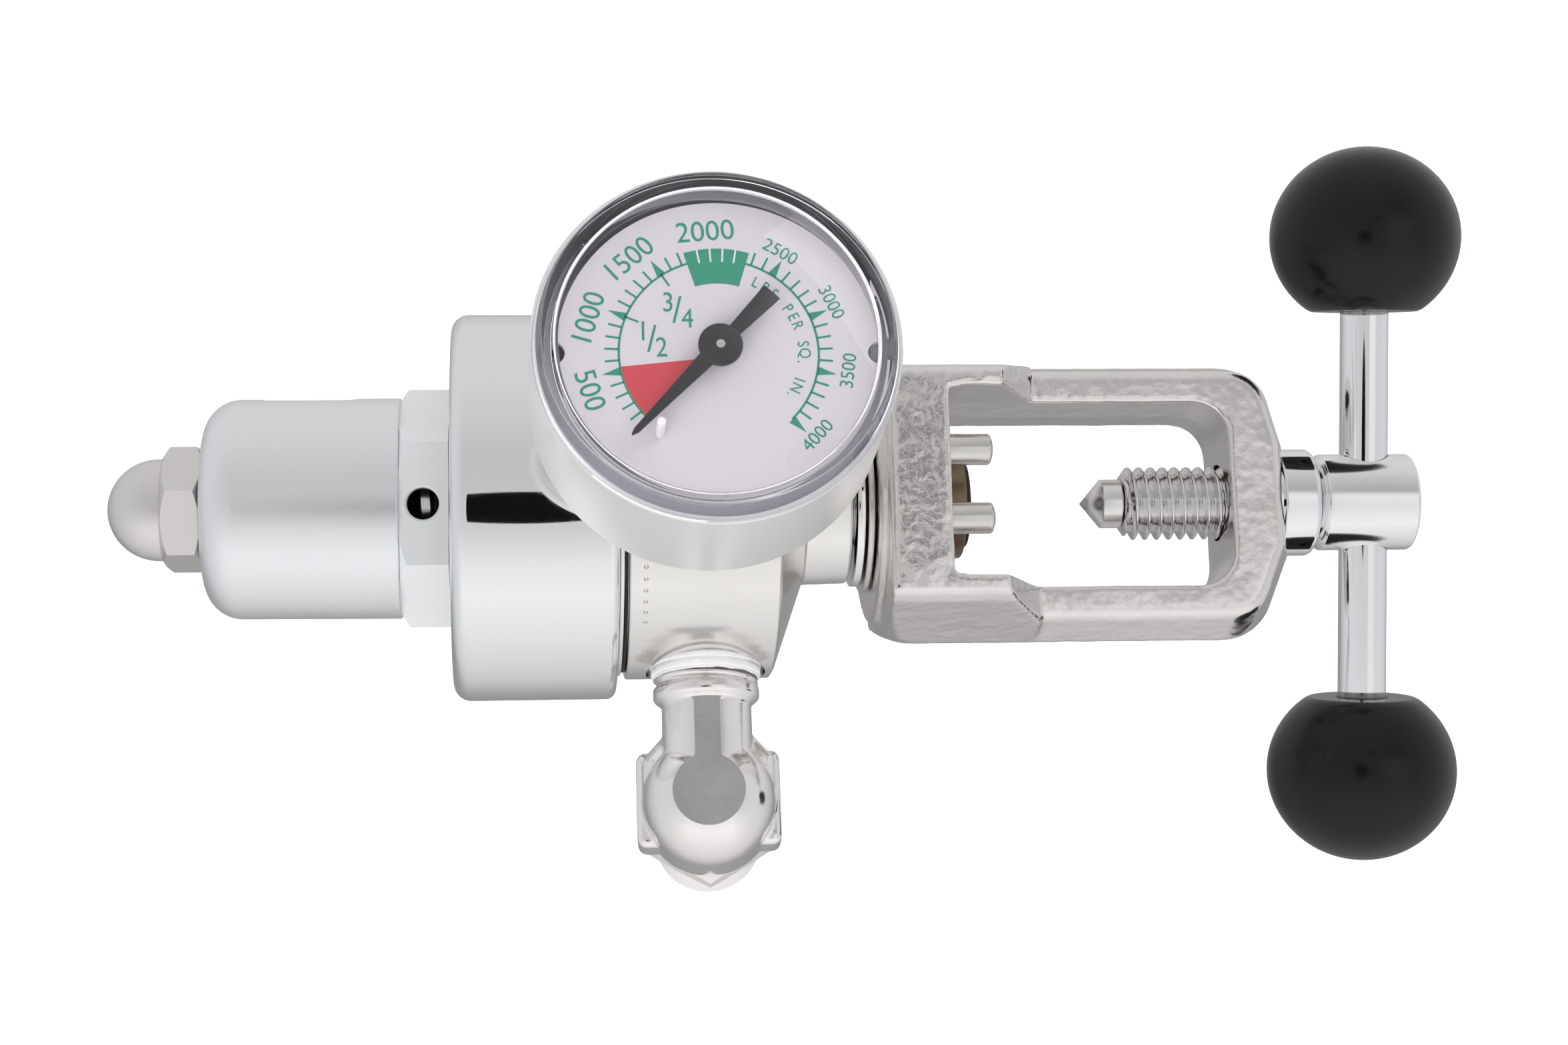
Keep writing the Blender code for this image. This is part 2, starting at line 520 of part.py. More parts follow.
def make_clamp(frame):
    """Bushing, clamp screw with its swivel tip, hub, T-bar and balls."""
    collar = [(YOKE_RIGHT - 6.0, 4.95), (YOKE_RIGHT - 6.0, 6.2), (YOKE_RIGHT + 0.15, 6.2)]
    collar += [(YOKE_RIGHT + 0.15, 7.05)]
    collar += arc((BUSHING_RIGHT - 1.4, 5.65), 1.4, 90, 0, 3) + [(BUSHING_RIGHT, 4.95)]
    bushing = turned("screw_bushing", collar, steps=ROUND_MEDIUM, parent=frame, ring=True)
    paint(bushing, CHROME, 0.15, 1.0)

    dog = 3.22
    tip = [(18.7, 0.0), (21.5, dog), (24.0, dog), (24.0, 1.9), (29.0, 1.9), (29.0, 0.0)]
    paint(turned("clamp_tip", tip, steps=24, parent=frame), CHROME, 0.12, 1.0)

    screw = threaded_rod("clamp_screw", 24.2, HUB_LEFT, frame)
    envelope = [(24.2, 0.0), (24.2, 3.5), (25.4, SCREW_MAJOR + 0.1), (HUB_LEFT - 0.6, SCREW_MAJOR + 0.1)]
    envelope += [(HUB_LEFT - 0.6, 0.0)]
    combine(screw, turned("screw_envelope", envelope, steps=24, parent=frame), "INTERSECT")
    join(screw, rod("screw_shank", 3.1, "X", HUB_LEFT - 3, 53.3, parent=frame))
    cut(screw, rod("tip_bore", 1.98, "X", 22.0, 29.4, parent=frame))
    paint(screw, CHROME, 0.15, 1.0)

    hub = [(HUB_LEFT, 0.0), (HUB_LEFT, 5.4), (HUB_LEFT + 0.9, HUB_RADIUS), (HUB_RIGHT - 0.4, HUB_RADIUS)]
    hub += [(HUB_RIGHT, HUB_RADIUS - 0.4), (HUB_RIGHT, 0.0)]
    hub = turned("handle_hub", hub, steps=ROUND_MEDIUM, parent=frame)
    tilt = math.radians(BAR_TILT)
    offset = (BAR_SHIFT * math.cos(tilt), BAR_SHIFT * math.sin(tilt))
    bar_axis = empty("bar_axis", (BAR_X, *offset), BAR_TILT)
    bar_axis.parent = frame
    cut(
        hub,
        rod("shank_bore", 3.3, "X", HUB_LEFT - 1, 53.5, parent=frame),
        rod("bar_bore", BAR_RADIUS + 0.12, "Y", -9.0, 9.0, steps=24, parent=bar_axis),
    )
    paint(hub, CHROME, 0.1, 1.0)

    end = 33.0
    bar = [(-end, 0.0), (-end, BAR_RADIUS - 0.4), (-end + 0.4, BAR_RADIUS), (end - 0.4, BAR_RADIUS)]
    bar += [(end, BAR_RADIUS - 0.4), (end, 0.0)]
    paint(turned("t_bar", bar, axis="Y", steps=24, parent=bar_axis), CHROME, 0.08, 1.0)
    for name, side in (("ball_upper", 1), ("ball_lower", -1)):
        flat_angle = math.degrees(math.acos((BALL_CENTRE - BALL_FLAT) / BALL_HALF_LENGTH))
        ball = arc((BALL_CENTRE, 0.0), BALL_HALF_LENGTH, 0, 180 - flat_angle, 9)
        ball = [(along, radius * BALL_RADIUS / BALL_HALF_LENGTH) for along, radius in ball]
        ball += [(BALL_FLAT, BAR_RADIUS + 0.15), (end + 0.3, BAR_RADIUS + 0.15), (end + 0.3, 0.0)]
        ball = [(along * side, radius) for along, radius in ball]
        paint(turned(name, ball, axis="Y", steps=ROUND_MEDIUM, parent=bar_axis), BLACK, 0.35, 0.0)


def gear_outline(teeth, first, last, angle):
    """Toothed arc points of a gear around its own centre; angle turns tooth number 0."""
    pitch_radius = GEAR_MODULE * teeth / 2
    tip_radius = pitch_radius + 0.9 * GEAR_MODULE
    root_radius = pitch_radius - 1.3 * GEAR_MODULE
    outline = []
    for tooth in range(first, last):
        middle = angle + 360.0 * tooth / teeth
        for radius, share in ((root_radius, -0.3), (tip_radius, -0.11), (tip_radius, 0.11), (root_radius, 0.3)):
            spot = math.radians(middle + share * 360.0 / teeth)
            outline.append((radius * math.cos(spot), radius * math.sin(spot)))
    return outline


def make_movement(gauge):
    """Bourdon tube, plate, sector gear and arbor behind the dial."""
    centre_distance = GEAR_MODULE * (PINION_TEETH + SECTOR_TEETH) / 2
    turn = math.radians(SECTOR_ANGLE)
    pivot_at = (centre_distance * math.cos(turn), centre_distance * math.sin(turn))
    pivot = empty("sector_pivot", (*pivot_at, 0.0))
    pivot.parent = gauge

    across = Vector((-math.sin(turn), math.cos(turn))) * 2.4
    along = Vector((math.cos(turn), math.sin(turn)))
    far = along * (centre_distance + 2.4)
    near = along * -4.0
    corners = [near - across, far - across, far + across, near + across]
    plate = prism("movement_plate", [tuple(c) for c in corners], "Z", 48.6, 49.4, gauge)
    cut(
        plate,
        rod("arbor_bore", 0.6, "Z", 47.0, 51.0, steps=16, parent=gauge),
        rod("pivot_bore", 0.7, "Z", 47.0, 51.0, steps=16, parent=pivot),
    )
    paint(plate, BRASS, 0.35, 1.0)

    # A sector tooth points at the arbor, and a gap of the pinion faces it.
    mesh_angle = SECTOR_ANGLE + 180.0
    tail = [(3.4 * math.cos(turn + spread), 3.4 * math.sin(turn + spread)) for spread in (-0.6, 0.6)]
    teeth = gear_outline(SECTOR_TEETH, -8, 2, mesh_angle)
    sector = prism("sector_gear", teeth + tail, "Z", 49.8, 50.7, pivot)
    join(sector, rod("sector_shaft", 0.6, "Z", 48.2, 51.4, steps=12, parent=pivot))
    paint(sector, BRASS, 0.3, 1.0)

    gap = 180.0 / PINION_TEETH
    pinion = prism(
        "pinion",
        gear_outline(PINION_TEETH, 0, PINION_TEETH, SECTOR_ANGLE + gap),
        "Z",
        49.7,
        51.2,
        gauge,
    )
    arbor = rod("pointer_arbor", 0.5, "Z", 46.6, POINTER_Z + 0.55, steps=12, parent=gauge)
    join(arbor, pinion)
    paint(arbor, STEEL, 0.3, 1.0)

    bm = bmesh.new()
    section = [(13.4, 42.4), (15.0, 42.4), (15.4, 43.0), (15.4, 46.4), (15.0, 47.0), (13.4, 47.0), (13.0, 46.4)]
    section += [(13.0, 43.0)]
    start = math.radians(-78.0)
    corners = [Vector((r * math.cos(start), r * math.sin(start), z)) * MM for r, z in section]
    face = bm.faces.new([bm.verts.new(corner) for corner in corners])
    bmesh.ops.spin(
        bm, geom=[face], cent=(0, 0, 0), axis=(0, 0, 1), angle=math.radians(245.0), steps=20, use_duplicate=False
    )
    paint(new_object("bourdon_tube", bm, gauge), BRASS, 0.35, 1.0)


def make_gauge():
    """The contents gauge on its stem."""
    gauge = empty("gauge_axis", (GAUGE_X, 0.0, 0.0))
    stem = [(14.4, 0.0), (14.4, 4.5), (14.8, 4.8), (23.4, 4.8), (23.4, 6.0), (37.9, 6.0), (37.9, 4.6)]
    stem += [(48.3, 4.6), (48.3, 0.0)]
    stem = turned("gauge_stem", stem, "Z", 24, gauge)
    nut = prism("stem_hex", hexagon(14.3, 0.0), "Z", 25.0, 35.5, gauge)
    arm = [(-2.4, -15.9), (2.4, -15.9), (2.4, 0.0), (-2.4, 0.0)]
    join(stem, nut, prism("stem_arm", arm, "Z", 41.6, 47.6, gauge))
    cut(
        stem,
        rod("stem_bore", 1.2, "Z", 12.0, 44.0, steps=12, parent=gauge),
        rod("arbor_well", 0.9, "Z", 46.2, 50.0, steps=12, parent=gauge),
    )
    paint(stem, BRASS, 0.3, 1.0)

    case = [(CASE_BACK, 4.9), (CASE_BACK, CASE_RADIUS - 2.2)]
    case += arc((CASE_BACK + 2.2, CASE_RADIUS - 2.2), 2.2, 180, 90, 3)[1:]
    case += [(CASE_FRONT, CASE_RADIUS), (CASE_FRONT, 19.5)]
    case += [(DIAL_TOP - 1.1, 19.5), (DIAL_TOP - 1.1, 17.4), (DIAL_TOP - 2.7, 19.2)]
    case += [(CASE_BACK + 1.2, 19.2), (CASE_BACK + 1.2, 4.9)]
    paint(turned("gauge_case", case, "Z", ROUND_LARGE, gauge, ring=True), ALUMINIUM, 0.3, 1.0)

    dial = rod("gauge_dial", DIAL_RADIUS, "Z", DIAL_TOP - 0.8, DIAL_TOP, steps=ROUND_LARGE, parent=gauge)
    cut(
        dial,
        rod("dial_hole", 1.0, "Z", 50.0, 60.0, steps=16, parent=gauge),
        rod("dial_notch_left", 1.3, "Z", 50.0, 60.0, (-DIAL_RADIUS + 0.1, 0.0), 16, gauge),
        rod("dial_notch_right", 1.3, "Z", 50.0, 60.0, (DIAL_RADIUS - 0.1, 0.0), 16, gauge),
    )
    paint(dial, WHITE, 0.5, 0.0)

    lens = [(LENS_TOP, 0.0), (LENS_TOP - 0.4, 17.8), (LENS_TOP - 0.9, 19.2)]
    lens += [(CASE_FRONT + 1.0, 20.0), (CASE_FRONT + 0.8, CASE_RADIUS)]
    lens += [(CASE_FRONT + 0.2, CASE_RADIUS), (CASE_FRONT + 0.2, 19.2), (DIAL_TOP + 0.4, 19.2)]
    lens += [(DIAL_TOP + 0.4, 18.1), (LENS_TOP - 1.6, 17.6), (LENS_TOP - 1.3, 0.0)]
    paint(turned("gauge_lens", lens, "Z", ROUND_LARGE, gauge), WHITE, 0.05, 0.0, alpha=0.3)

    zero = math.radians(POINTER_ZERO)
    ahead = Vector((math.cos(zero), math.sin(zero)))
    across = Vector((-ahead.y, ahead.x))
    blade = [(14.2, 0.22), (13.9, 0.3), (2.0, 1.0), (-2.0, 0.8), (-8.3, 1.2)]
    outline = [ahead * reach + across * half for reach, half in blade]
    outline += [ahead * reach - across * half for reach, half in reversed(blade)]
    pointer = prism("gauge_pointer", [tuple(p) for p in outline], "Z", POINTER_Z, POINTER_Z + 0.4, gauge)
    join(pointer, rod("pointer_disc", 2.45, "Z", POINTER_Z - 0.7, POINTER_Z + 0.4, steps=24, parent=gauge))
    cut(pointer, rod("pointer_hole", 0.62, "Z", 50.0, 65.0, steps=12, parent=gauge))
    paint(pointer, BLACK, 0.5, 0.0)

    pin = [(DIAL_TOP + 0.1, 0.0), (DIAL_TOP + 0.1, 0.52), (59.7, 0.52), (60.0, 0.3), (60.05, 0.0)]
    stop = turned("stop_pin", pin, "Z", 12, gauge)
    stop.location = Vector((-6.75, -9.5, 0.0)) * MM
    paint(stop, WHITE, 0.4, 0.0)
    make_movement(gauge)


def make_outlet():
    """The elbow in its taped port and the fitting screwed into the elbow."""
    neck = [(-14.3, 0.0), (-14.3, 6.2), (-15.0, 6.55), (-24.9, 6.55), (-24.9, 6.75), (-26.2, 6.75)]
    neck += [(-27.0, ELBOW_NECK_RADIUS), (-35.5, ELBOW_NECK_RADIUS), (-35.5, 0.0)]
    outlet = empty("outlet_axis", (OUTLET_X, 0.0, 0.0))
    outlet.rotation_euler = (0, math.radians(OUTLET_TURN), 0)
    elbow = turned("outlet_elbow", neck, "Y", ROUND_MEDIUM, outlet)
    ball_z = -1.1
    tube = arc((ball_z, 0.0), ELBOW_RADIUS, 0, 90, 5) + [(-8.8, ELBOW_RADIUS), (-8.8, 0.0)]
    tube = turned("elbow_tube", tube, "Z", ROUND_MEDIUM, outlet)
    tube.location = Vector((0.0, OUTLET_Y, 0.0)) * MM
    half_width, half_height = 9.15, 6.1
    ear = [(-half_width, -half_height), (half_width, -half_height), (half_width, half_height)]
    ear += [(-half_width, half_height)]
    ears = drafted("elbow_ears", ear, [1.2] * 4, [(-8.8, 0.3), (-8.5, 0.0), (-3.4, 0.0), (-2.8, 0.6)], outlet)
    ears.location = Vector((0.0, OUTLET_Y + 0.6, 0.0)) * MM
    slope = [(-8.1, -38.4), (8.1, -38.4), (8.1, -33.4), (5.5, -30.3), (-5.5, -30.3), (-8.1, -33.4)]
    levels = [(-7.8, 0.6), (-7.2, 0.0), (-0.4, 0.0), (1.8, 2.4)]
    shoulders = drafted("elbow_shoulders", slope, [1.0] * 6, levels, outlet)
    join(elbow, tube, ears, shoulders)
    trim = [(-12.0, -60.0), (12.0, -60.0), (12.0, -26.6), (-12.0, -26.6)]
    cut(
        elbow,
        prism("elbow_face", trim, "Z", ELBOW_FACE, ELBOW_FACE + 8, outlet),
        rod("elbow_inlet", 2.2, "Y", OUTLET_Y, -10.0, steps=14, parent=outlet),
        rod("elbow_thread", 5.9, "Z", -12.0, -1.6, centre=(0.0, OUTLET_Y), steps=24, parent=outlet),
    )
    paint(elbow, NICKEL, 0.2, 1.0)

    tape = [(TAPE_TOP, 6.65), (TAPE_TOP, 7.0), (TAPE_TOP - 1.2, 7.15), (TAPE_TOP - 2.4, 6.95)]
    tape += [(TAPE_TOP - 3.6, 6.95), (TAPE_TOP - 3.6, 6.65)]
    paint(turned("sealing_tape", tape, "Y", ROUND_MEDIUM, outlet, ring=True), WHITE, 0.6, 0.0)

    fitting = [(-2.0, 2.2), (-2.0, 5.7), (FITTING_HEX_TOP + 0.1, 5.7), (FITTING_HEX_TOP + 0.1, 7.1)]
    fitting += [(-13.7, 7.1), (-13.7, 6.6), (-15.0, 6.6), (-15.5, 7.14), (FITTING_END + 0.8, 7.14)]
    fitting += [(FITTING_END, 6.4), (FITTING_END, 4.0), (FITTING_END + 9.0, 4.0), (FITTING_END + 9.0, 2.2)]
    fitting = turned("outlet_fitting", fitting, "Z", ROUND_MEDIUM, outlet, ring=True)
    nut = prism("fitting_hex", hexagon(15.88, 0.0), "Z", FITTING_HEX_TOP - 4.3, FITTING_HEX_TOP, outlet)
    edge = [(FITTING_HEX_TOP - 4.3, 6.0), (FITTING_HEX_TOP - 4.3, 8.1), (FITTING_HEX_TOP - 3.7, 9.2)]
    edge += [(FITTING_HEX_TOP - 0.6, 9.2), (FITTING_HEX_TOP, 8.1), (FITTING_HEX_TOP, 6.0)]
    combine(nut, turned("fitting_hex_edge", edge, "Z", ROUND_MEDIUM, outlet, ring=True), "INTERSECT")
    join(fitting, nut)
    for helper in (fitting, nut, bpy.data.objects["fitting_hex_edge"]):
        helper.location = Vector((0.0, OUTLET_Y, 0.0)) * MM
    paint(fitting, CHROME, 0.2, 1.0)


def main():
    clear_scene()
    make_setting_end()
    make_union()
    make_body()
    make_valve()
    yoke_frame = empty("yoke_frame", turn_x=YOKE_ROLL)
    make_yoke(yoke_frame)
    make_seal()
    make_clamp(yoke_frame)
    make_gauge()
    make_outlet()


main()
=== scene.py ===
import math

import bmesh
import bpy
from mathutils import Matrix, Vector, noise


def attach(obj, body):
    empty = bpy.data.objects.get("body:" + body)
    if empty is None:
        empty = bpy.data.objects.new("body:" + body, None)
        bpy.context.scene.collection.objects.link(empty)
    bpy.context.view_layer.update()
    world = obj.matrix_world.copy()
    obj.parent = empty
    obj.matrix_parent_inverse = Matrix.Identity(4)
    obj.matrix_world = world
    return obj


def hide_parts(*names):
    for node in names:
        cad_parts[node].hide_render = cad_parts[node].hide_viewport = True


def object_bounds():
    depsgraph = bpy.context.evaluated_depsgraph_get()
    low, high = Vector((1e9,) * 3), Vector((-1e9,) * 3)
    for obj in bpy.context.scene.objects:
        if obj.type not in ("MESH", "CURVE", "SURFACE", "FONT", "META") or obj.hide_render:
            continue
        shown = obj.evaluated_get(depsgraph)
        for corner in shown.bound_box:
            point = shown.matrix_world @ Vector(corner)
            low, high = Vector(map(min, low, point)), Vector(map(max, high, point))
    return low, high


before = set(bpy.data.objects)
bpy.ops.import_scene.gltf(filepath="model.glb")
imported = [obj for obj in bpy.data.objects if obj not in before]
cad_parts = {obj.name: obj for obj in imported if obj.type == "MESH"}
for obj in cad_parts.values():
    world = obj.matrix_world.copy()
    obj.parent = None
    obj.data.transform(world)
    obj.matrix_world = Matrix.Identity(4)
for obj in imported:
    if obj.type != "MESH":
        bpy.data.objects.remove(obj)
cad_low, cad_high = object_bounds()

# Sizes are millimetres, and MM turns them into metres. They repeat those of the CAD part, apart from
# DIAL_TOP, OUTLET_Y, ELBOW_FACE, GAUGE_WIDENING and CASE_SHIFT, which are the visible pieces' own.
MM = 0.001
YOKE_ROLL = math.radians(6.5)
BAR_TILT = math.radians(13.5)
ACORN_TURN = -31.0
BONNET_TURN = -15.0
SPOT_TURN = 78.0
VENT_X = -66.45
UNION_RADIUS = 24.8
BODY_RADIUS = 22.3
DOT_STEP = 4.1
YOKE_LEFT = -8.6
YOKE_RIGHT = 46.35
YOKE_HALF_HEIGHT = 18.3
BLOCK_TOP = 17.0
WINDOW_RIGHT = 37.1
WINDOW_HALF_HEIGHT = 11.75
PIN_CIRCLE = 14.3
PIN_SPREAD = 18.0
SCREW_PITCH = 1.5875
HUB_RADIUS = 6.36
BAR_X = 57.0
BAR_SHIFT = -0.35
BAR_RADIUS = 3.17
BAR_HALF_LENGTH = 33.0
BALL_CENTRE = 35.4
BALL_RADIUS = 12.45
BALL_HALF_LENGTH = 11.95
BALL_FLAT = 25.6
GAUGE_X = -32.5
GAUGE_WIDENING = 1.006
CASE_SHIFT = -0.4
CASE_RADIUS = 20.4
CASE_FRONT = 58.0
LENS_TOP = 62.0
DIAL_TOP = 55.3
DIAL_RADIUS = 18.0
SCALE_START = -135.0
SCALE_SWEEP = 270.0
SCALE_MAX = 4000.0
POINTER_Z = 57.65
POINTER_ZERO = -133.5
OUTLET_X = -31.1
OUTLET_Y = -38.4
OUTLET_TURN = math.radians(-3.4)
ELBOW_FACE = 5.46
PIPE_PITCH = 1.41

REGULATOR = "regulator"
HANDLE = "clamp_handle"


def move(x, y, z):
    return Matrix.Translation(Vector((x, y, z)) * MM)


HOME = Matrix.Identity(4)
YOKE_FRAME = Matrix.Rotation(YOKE_ROLL, 4, "X")
GAUGE_FRAME = move(GAUGE_X, 0.0, 0.0) @ Matrix.Diagonal((GAUGE_WIDENING, GAUGE_WIDENING, 1.0, 1.0))
CASE_FRAME = move(CASE_SHIFT, 0.0, 0.0) @ GAUGE_FRAME
OUTLET_FRAME = move(OUTLET_X, 0.0, 0.0) @ Matrix.Rotation(OUTLET_TURN, 4, "Y")
DROP_FRAME = OUTLET_FRAME @ move(0.0, OUTLET_Y, 0.0)
BAR_FRAME = move(BAR_X, 0.0, 0.0) @ Matrix.Rotation(YOKE_ROLL + BAR_TILT, 4, "X") @ move(0.0, BAR_SHIFT, 0.0)


# ---------------------------------------------------------------- mesh helpers

def point(axis, along, first, second):
    """A place from its distance along an axis and its two coordinates across it."""
    places = {"X": (along, first, second), "Y": (first, along, second), "Z": (first, second, along)}
    return Vector(places[axis]) * MM


def to_object(name, bm, place=HOME, sharp=32.0):
    """The mesh as an object, already in the shared frame and shaded smooth between sharp edges."""
    bmesh.ops.remove_doubles(bm, verts=bm.verts, dist=1e-7)
    bmesh.ops.recalc_face_normals(bm, faces=bm.faces)
    mesh = bpy.data.meshes.new(name)
    bm.to_mesh(mesh)
    bm.free()
    mesh.transform(place)
    made = bpy.data.objects.new(name, mesh)
    bpy.context.scene.collection.objects.link(made)
    shade(made, sharp)
    return made


def shade(target, sharp):
    target.data.shade_smooth()
    target.data.set_sharp_from_angle(angle=math.radians(sharp))


def arc(centre, radius, start, end, steps):
    angles = [math.radians(start + (end - start) * k / steps) for k in range(steps + 1)]
    return [(centre[0] + radius * math.cos(a), centre[1] + radius * math.sin(a)) for a in angles]


def rounded(corners, closed, steps=4):
    """Each (place, radius, fillet) corner of a profile turned into an arc."""
    points = [Vector(corner[:2]) for corner in corners]
    out = []
    for k, corner in enumerate(corners):
        fillet = corner[2] if len(corner) > 2 else 0.0
        if fillet <= 0 or (not closed and k in (0, len(corners) - 1)):
            out.append(tuple(points[k]))
            continue
        before = points[k - 1] - points[k]
        after = points[(k + 1) % len(points)] - points[k]
        half = before.angle(after) / 2
        reach = min(fillet / math.tan(half), 0.48 * before.length, 0.48 * after.length)
        fillet = reach * math.tan(half)
        centre = points[k] + (before.normalized() + after.normalized()).normalized() * fillet / math.sin(half)
        first = points[k] + before.normalized() * reach - centre
        last = points[k] + after.normalized() * reach - centre
        for step in range(steps + 1):
            share = step / steps
            out.append(tuple(centre + (first * (1 - share) + last * share).normalized() * fillet))
    return out


def lathe(name, corners, axis="X", steps=128, ring=False, place=HOME, fillet_steps=4, sharp=32.0):
    """A solid of revolution with rounded corners, from axis to axis or closed on itself as a ring."""
    profile = rounded(corners, ring, fillet_steps)
    bm = bmesh.new()
    verts = [bm.verts.new(point(axis, along, radius, 0.0)) for along, radius in profile]
    if ring:
        verts.append(verts[0])
    edges = [bm.edges.new(pair) for pair in zip(verts, verts[1:])]
    turn = point(axis, 1.0, 0.0, 0.0).normalized()
    bmesh.ops.spin(bm, geom=list(bm.verts) + edges, cent=(0, 0, 0), axis=turn, angle=math.tau, steps=steps,
                   use_merge=True)
    return to_object(name, bm, place, sharp)


def prism(name, outline, axis, start, end, place=HOME, bevel=0.0, sharp=32.0):
    """An outline extruded along an axis, with all its edges bevelled when a bevel is given."""
    bm = bmesh.new()
    face = bm.faces.new([bm.verts.new(point(axis, start, *corner)) for corner in outline])
    raised = bmesh.ops.extrude_face_region(bm, geom=[face])["geom"]
    moved = [item for item in raised if isinstance(item, bmesh.types.BMVert)]
    bmesh.ops.translate(bm, verts=moved, vec=point(axis, 1.0, 0.0, 0.0).normalized() * (end - start) * MM)
    if bevel:
        bmesh.ops.bevel(bm, geom=list(bm.edges), offset=bevel * MM, segments=3, affect="EDGES", profile=0.5)
    return to_object(name, bm, place, sharp)


def rod(name, radius, axis, start, end, centre=(0.0, 0.0), steps=64, place=HOME):
    angles = [math.tau * (k + 0.3) / steps for k in range(steps)]
    outline = [(centre[0] + radius * math.cos(a), centre[1] + radius * math.sin(a)) for a in angles]
    return prism(name, outline, axis, start, end, place)


def hexagon(across_flats, flat_angle):
    corner = across_flats / math.sqrt(3)
    angles = [math.radians(flat_angle + 30 + 60 * k) for k in range(6)]
    return [(corner * math.cos(a), corner * math.sin(a)) for a in angles]


def facing(turn):
    """The direction of a hexagon's flat in the YZ plane, for its turn from the gauge's side."""
    return 90.0 - turn


def rounded_outline(corners, radii, inset, steps=8):
    """A convex outline moved inwards by inset, with each corner turned into an arc."""
    points = [Vector(corner) for corner in corners]
    sides = []
    for here, following in zip(points, points[1:] + points[:1]):
        along = (following - here).normalized()
        inwards = Vector((-along.y, along.x))
        sides.append((here + inwards * inset, along, inwards))
    outline = []
    for k in range(len(points)):
        before, after = sides[k - 1], sides[k]
        radius = max(radii[k] - inset, 0.4)
        reach = (after[0] - before[0]).cross(after[1]) / before[1].cross(after[1])
        corner = before[0] + before[1] * reach
        half = math.acos(max(-1.0, min(1.0, before[1].dot(after[1])))) / 2
        centre = corner - before[1] * radius * math.tan(half) + before[2] * radius
        first = math.atan2(-before[2].y, -before[2].x)
        for step in range(steps + 1):
            angle = first + 2 * half * step / steps
            outline.append((centre.x + radius * math.cos(angle), centre.y + radius * math.sin(angle)))
    return outline


def drafted(name, corners, radii, levels, place=HOME):
    """A plate along Z whose outline shrinks by the inset that each (height, inset) level gives."""
    bm = bmesh.new()
    rings = []
    for height, inset in levels:
        outline = rounded_outline(corners, radii, inset)
        rings.append([bm.verts.new(Vector((x, y, height)) * MM) for x, y in outline])
    for lower, upper in zip(rings, rings[1:]):
        for k in range(len(lower)):
            bm.faces.new((lower[k - 1], lower[k], upper[k], upper[k - 1]))
    bm.faces.new(rings[0])
    bm.faces.new(rings[-1])
    return to_object(name, bm, place)


def bake(target, sharp):
    """Applies the modifiers, so that the piece is its final mesh."""
    graph = bpy.context.evaluated_depsgraph_get()
    mesh = bpy.data.meshes.new_from_object(target.evaluated_get(graph), depsgraph=graph)
    old = target.data
    target.modifiers.clear()
    target.data = mesh
    bpy.data.meshes.remove(old)
    shade(target, sharp)


def combine(target, operation, others, sharp):
    """One solid from the target and the others, which are used up."""
    for other in others:
        modifier = target.modifiers.new("combine", "BOOLEAN")
        modifier.operation = operation
        modifier.solver = "EXACT"
        modifier.object = other
    bake(target, sharp)
    for other in others:
        mesh = other.data
        bpy.data.objects.remove(other)
        bpy.data.meshes.remove(mesh)
    return target


def cut(target, *others, sharp=32.0):
    return combine(target, "DIFFERENCE", others, sharp)


def join(target, *others, sharp=32.0):
    return combine(target, "UNION", others, sharp)


def trim(target, other):
    return combine(target, "INTERSECT", [other], 32.0)


def soften(target, voxel, rounds):
    """Turns a joined solid into one cast skin with rounded edges."""
    remesh = target.modifiers.new("remesh", "REMESH")
    remesh.mode = "VOXEL"
    remesh.voxel_size = voxel * MM
    remesh.use_smooth_shade = True
    smooth = target.modifiers.new("smooth", "SMOOTH")
    smooth.factor = 0.5
    smooth.iterations = rounds
    bake(target, 60.0)


def threaded(name, axis, start, end, major, minor, pitch, place=HOME, steps=72, chamfer=0.8):
    """A right-hand thread as a height field round its axis, with chamfered ends."""
    rows_per_pitch = 12
    below_root = 0.15
    rows = int(round((end - start) / pitch * rows_per_pitch)) + 1
    bm = bmesh.new()
    grid = []
    for row in range(rows):
        along = start + (end - start) * row / (rows - 1)
        ring = []
        ends = min(along - start, end - along)
        limit = minor - below_root + (major - minor + below_root) * min(1.0, ends / chamfer)
        for k in range(steps):
            phase = ((along - start) / pitch - k / steps) % 1.0
            flank = 1.0 - abs(2.0 * phase - 1.0)
            height = min(1.0, max(0.0, (flank - 0.08) / 0.80))
            height = height * height * (3 - 2 * height) * 0.3 + height * 0.7
            radius = min(minor + (major - minor) * height, limit)
            angle = math.tau * k / steps
            ring.append(bm.verts.new(point(axis, along, radius * math.cos(angle), radius * math.sin(angle))))
        grid.append(ring)
    for lower, upper in zip(grid, grid[1:]):
        for k in range(steps):
            bm.faces.new((lower[k - 1], lower[k], upper[k], upper[k - 1]))
    bm.faces.new(grid[0])
    bm.faces.new(grid[-1])
    return to_object(name, bm, place, 50.0)


def divide(target, cuts):
    """Splits every face, so that noise can move the skin between the first vertices."""
    bm = bmesh.new()
    bm.from_mesh(target.data)
    bmesh.ops.subdivide_edges(bm, edges=list(bm.edges), cuts=cuts, use_grid_fill=True)
    bm.to_mesh(target.data)
    bm.free()


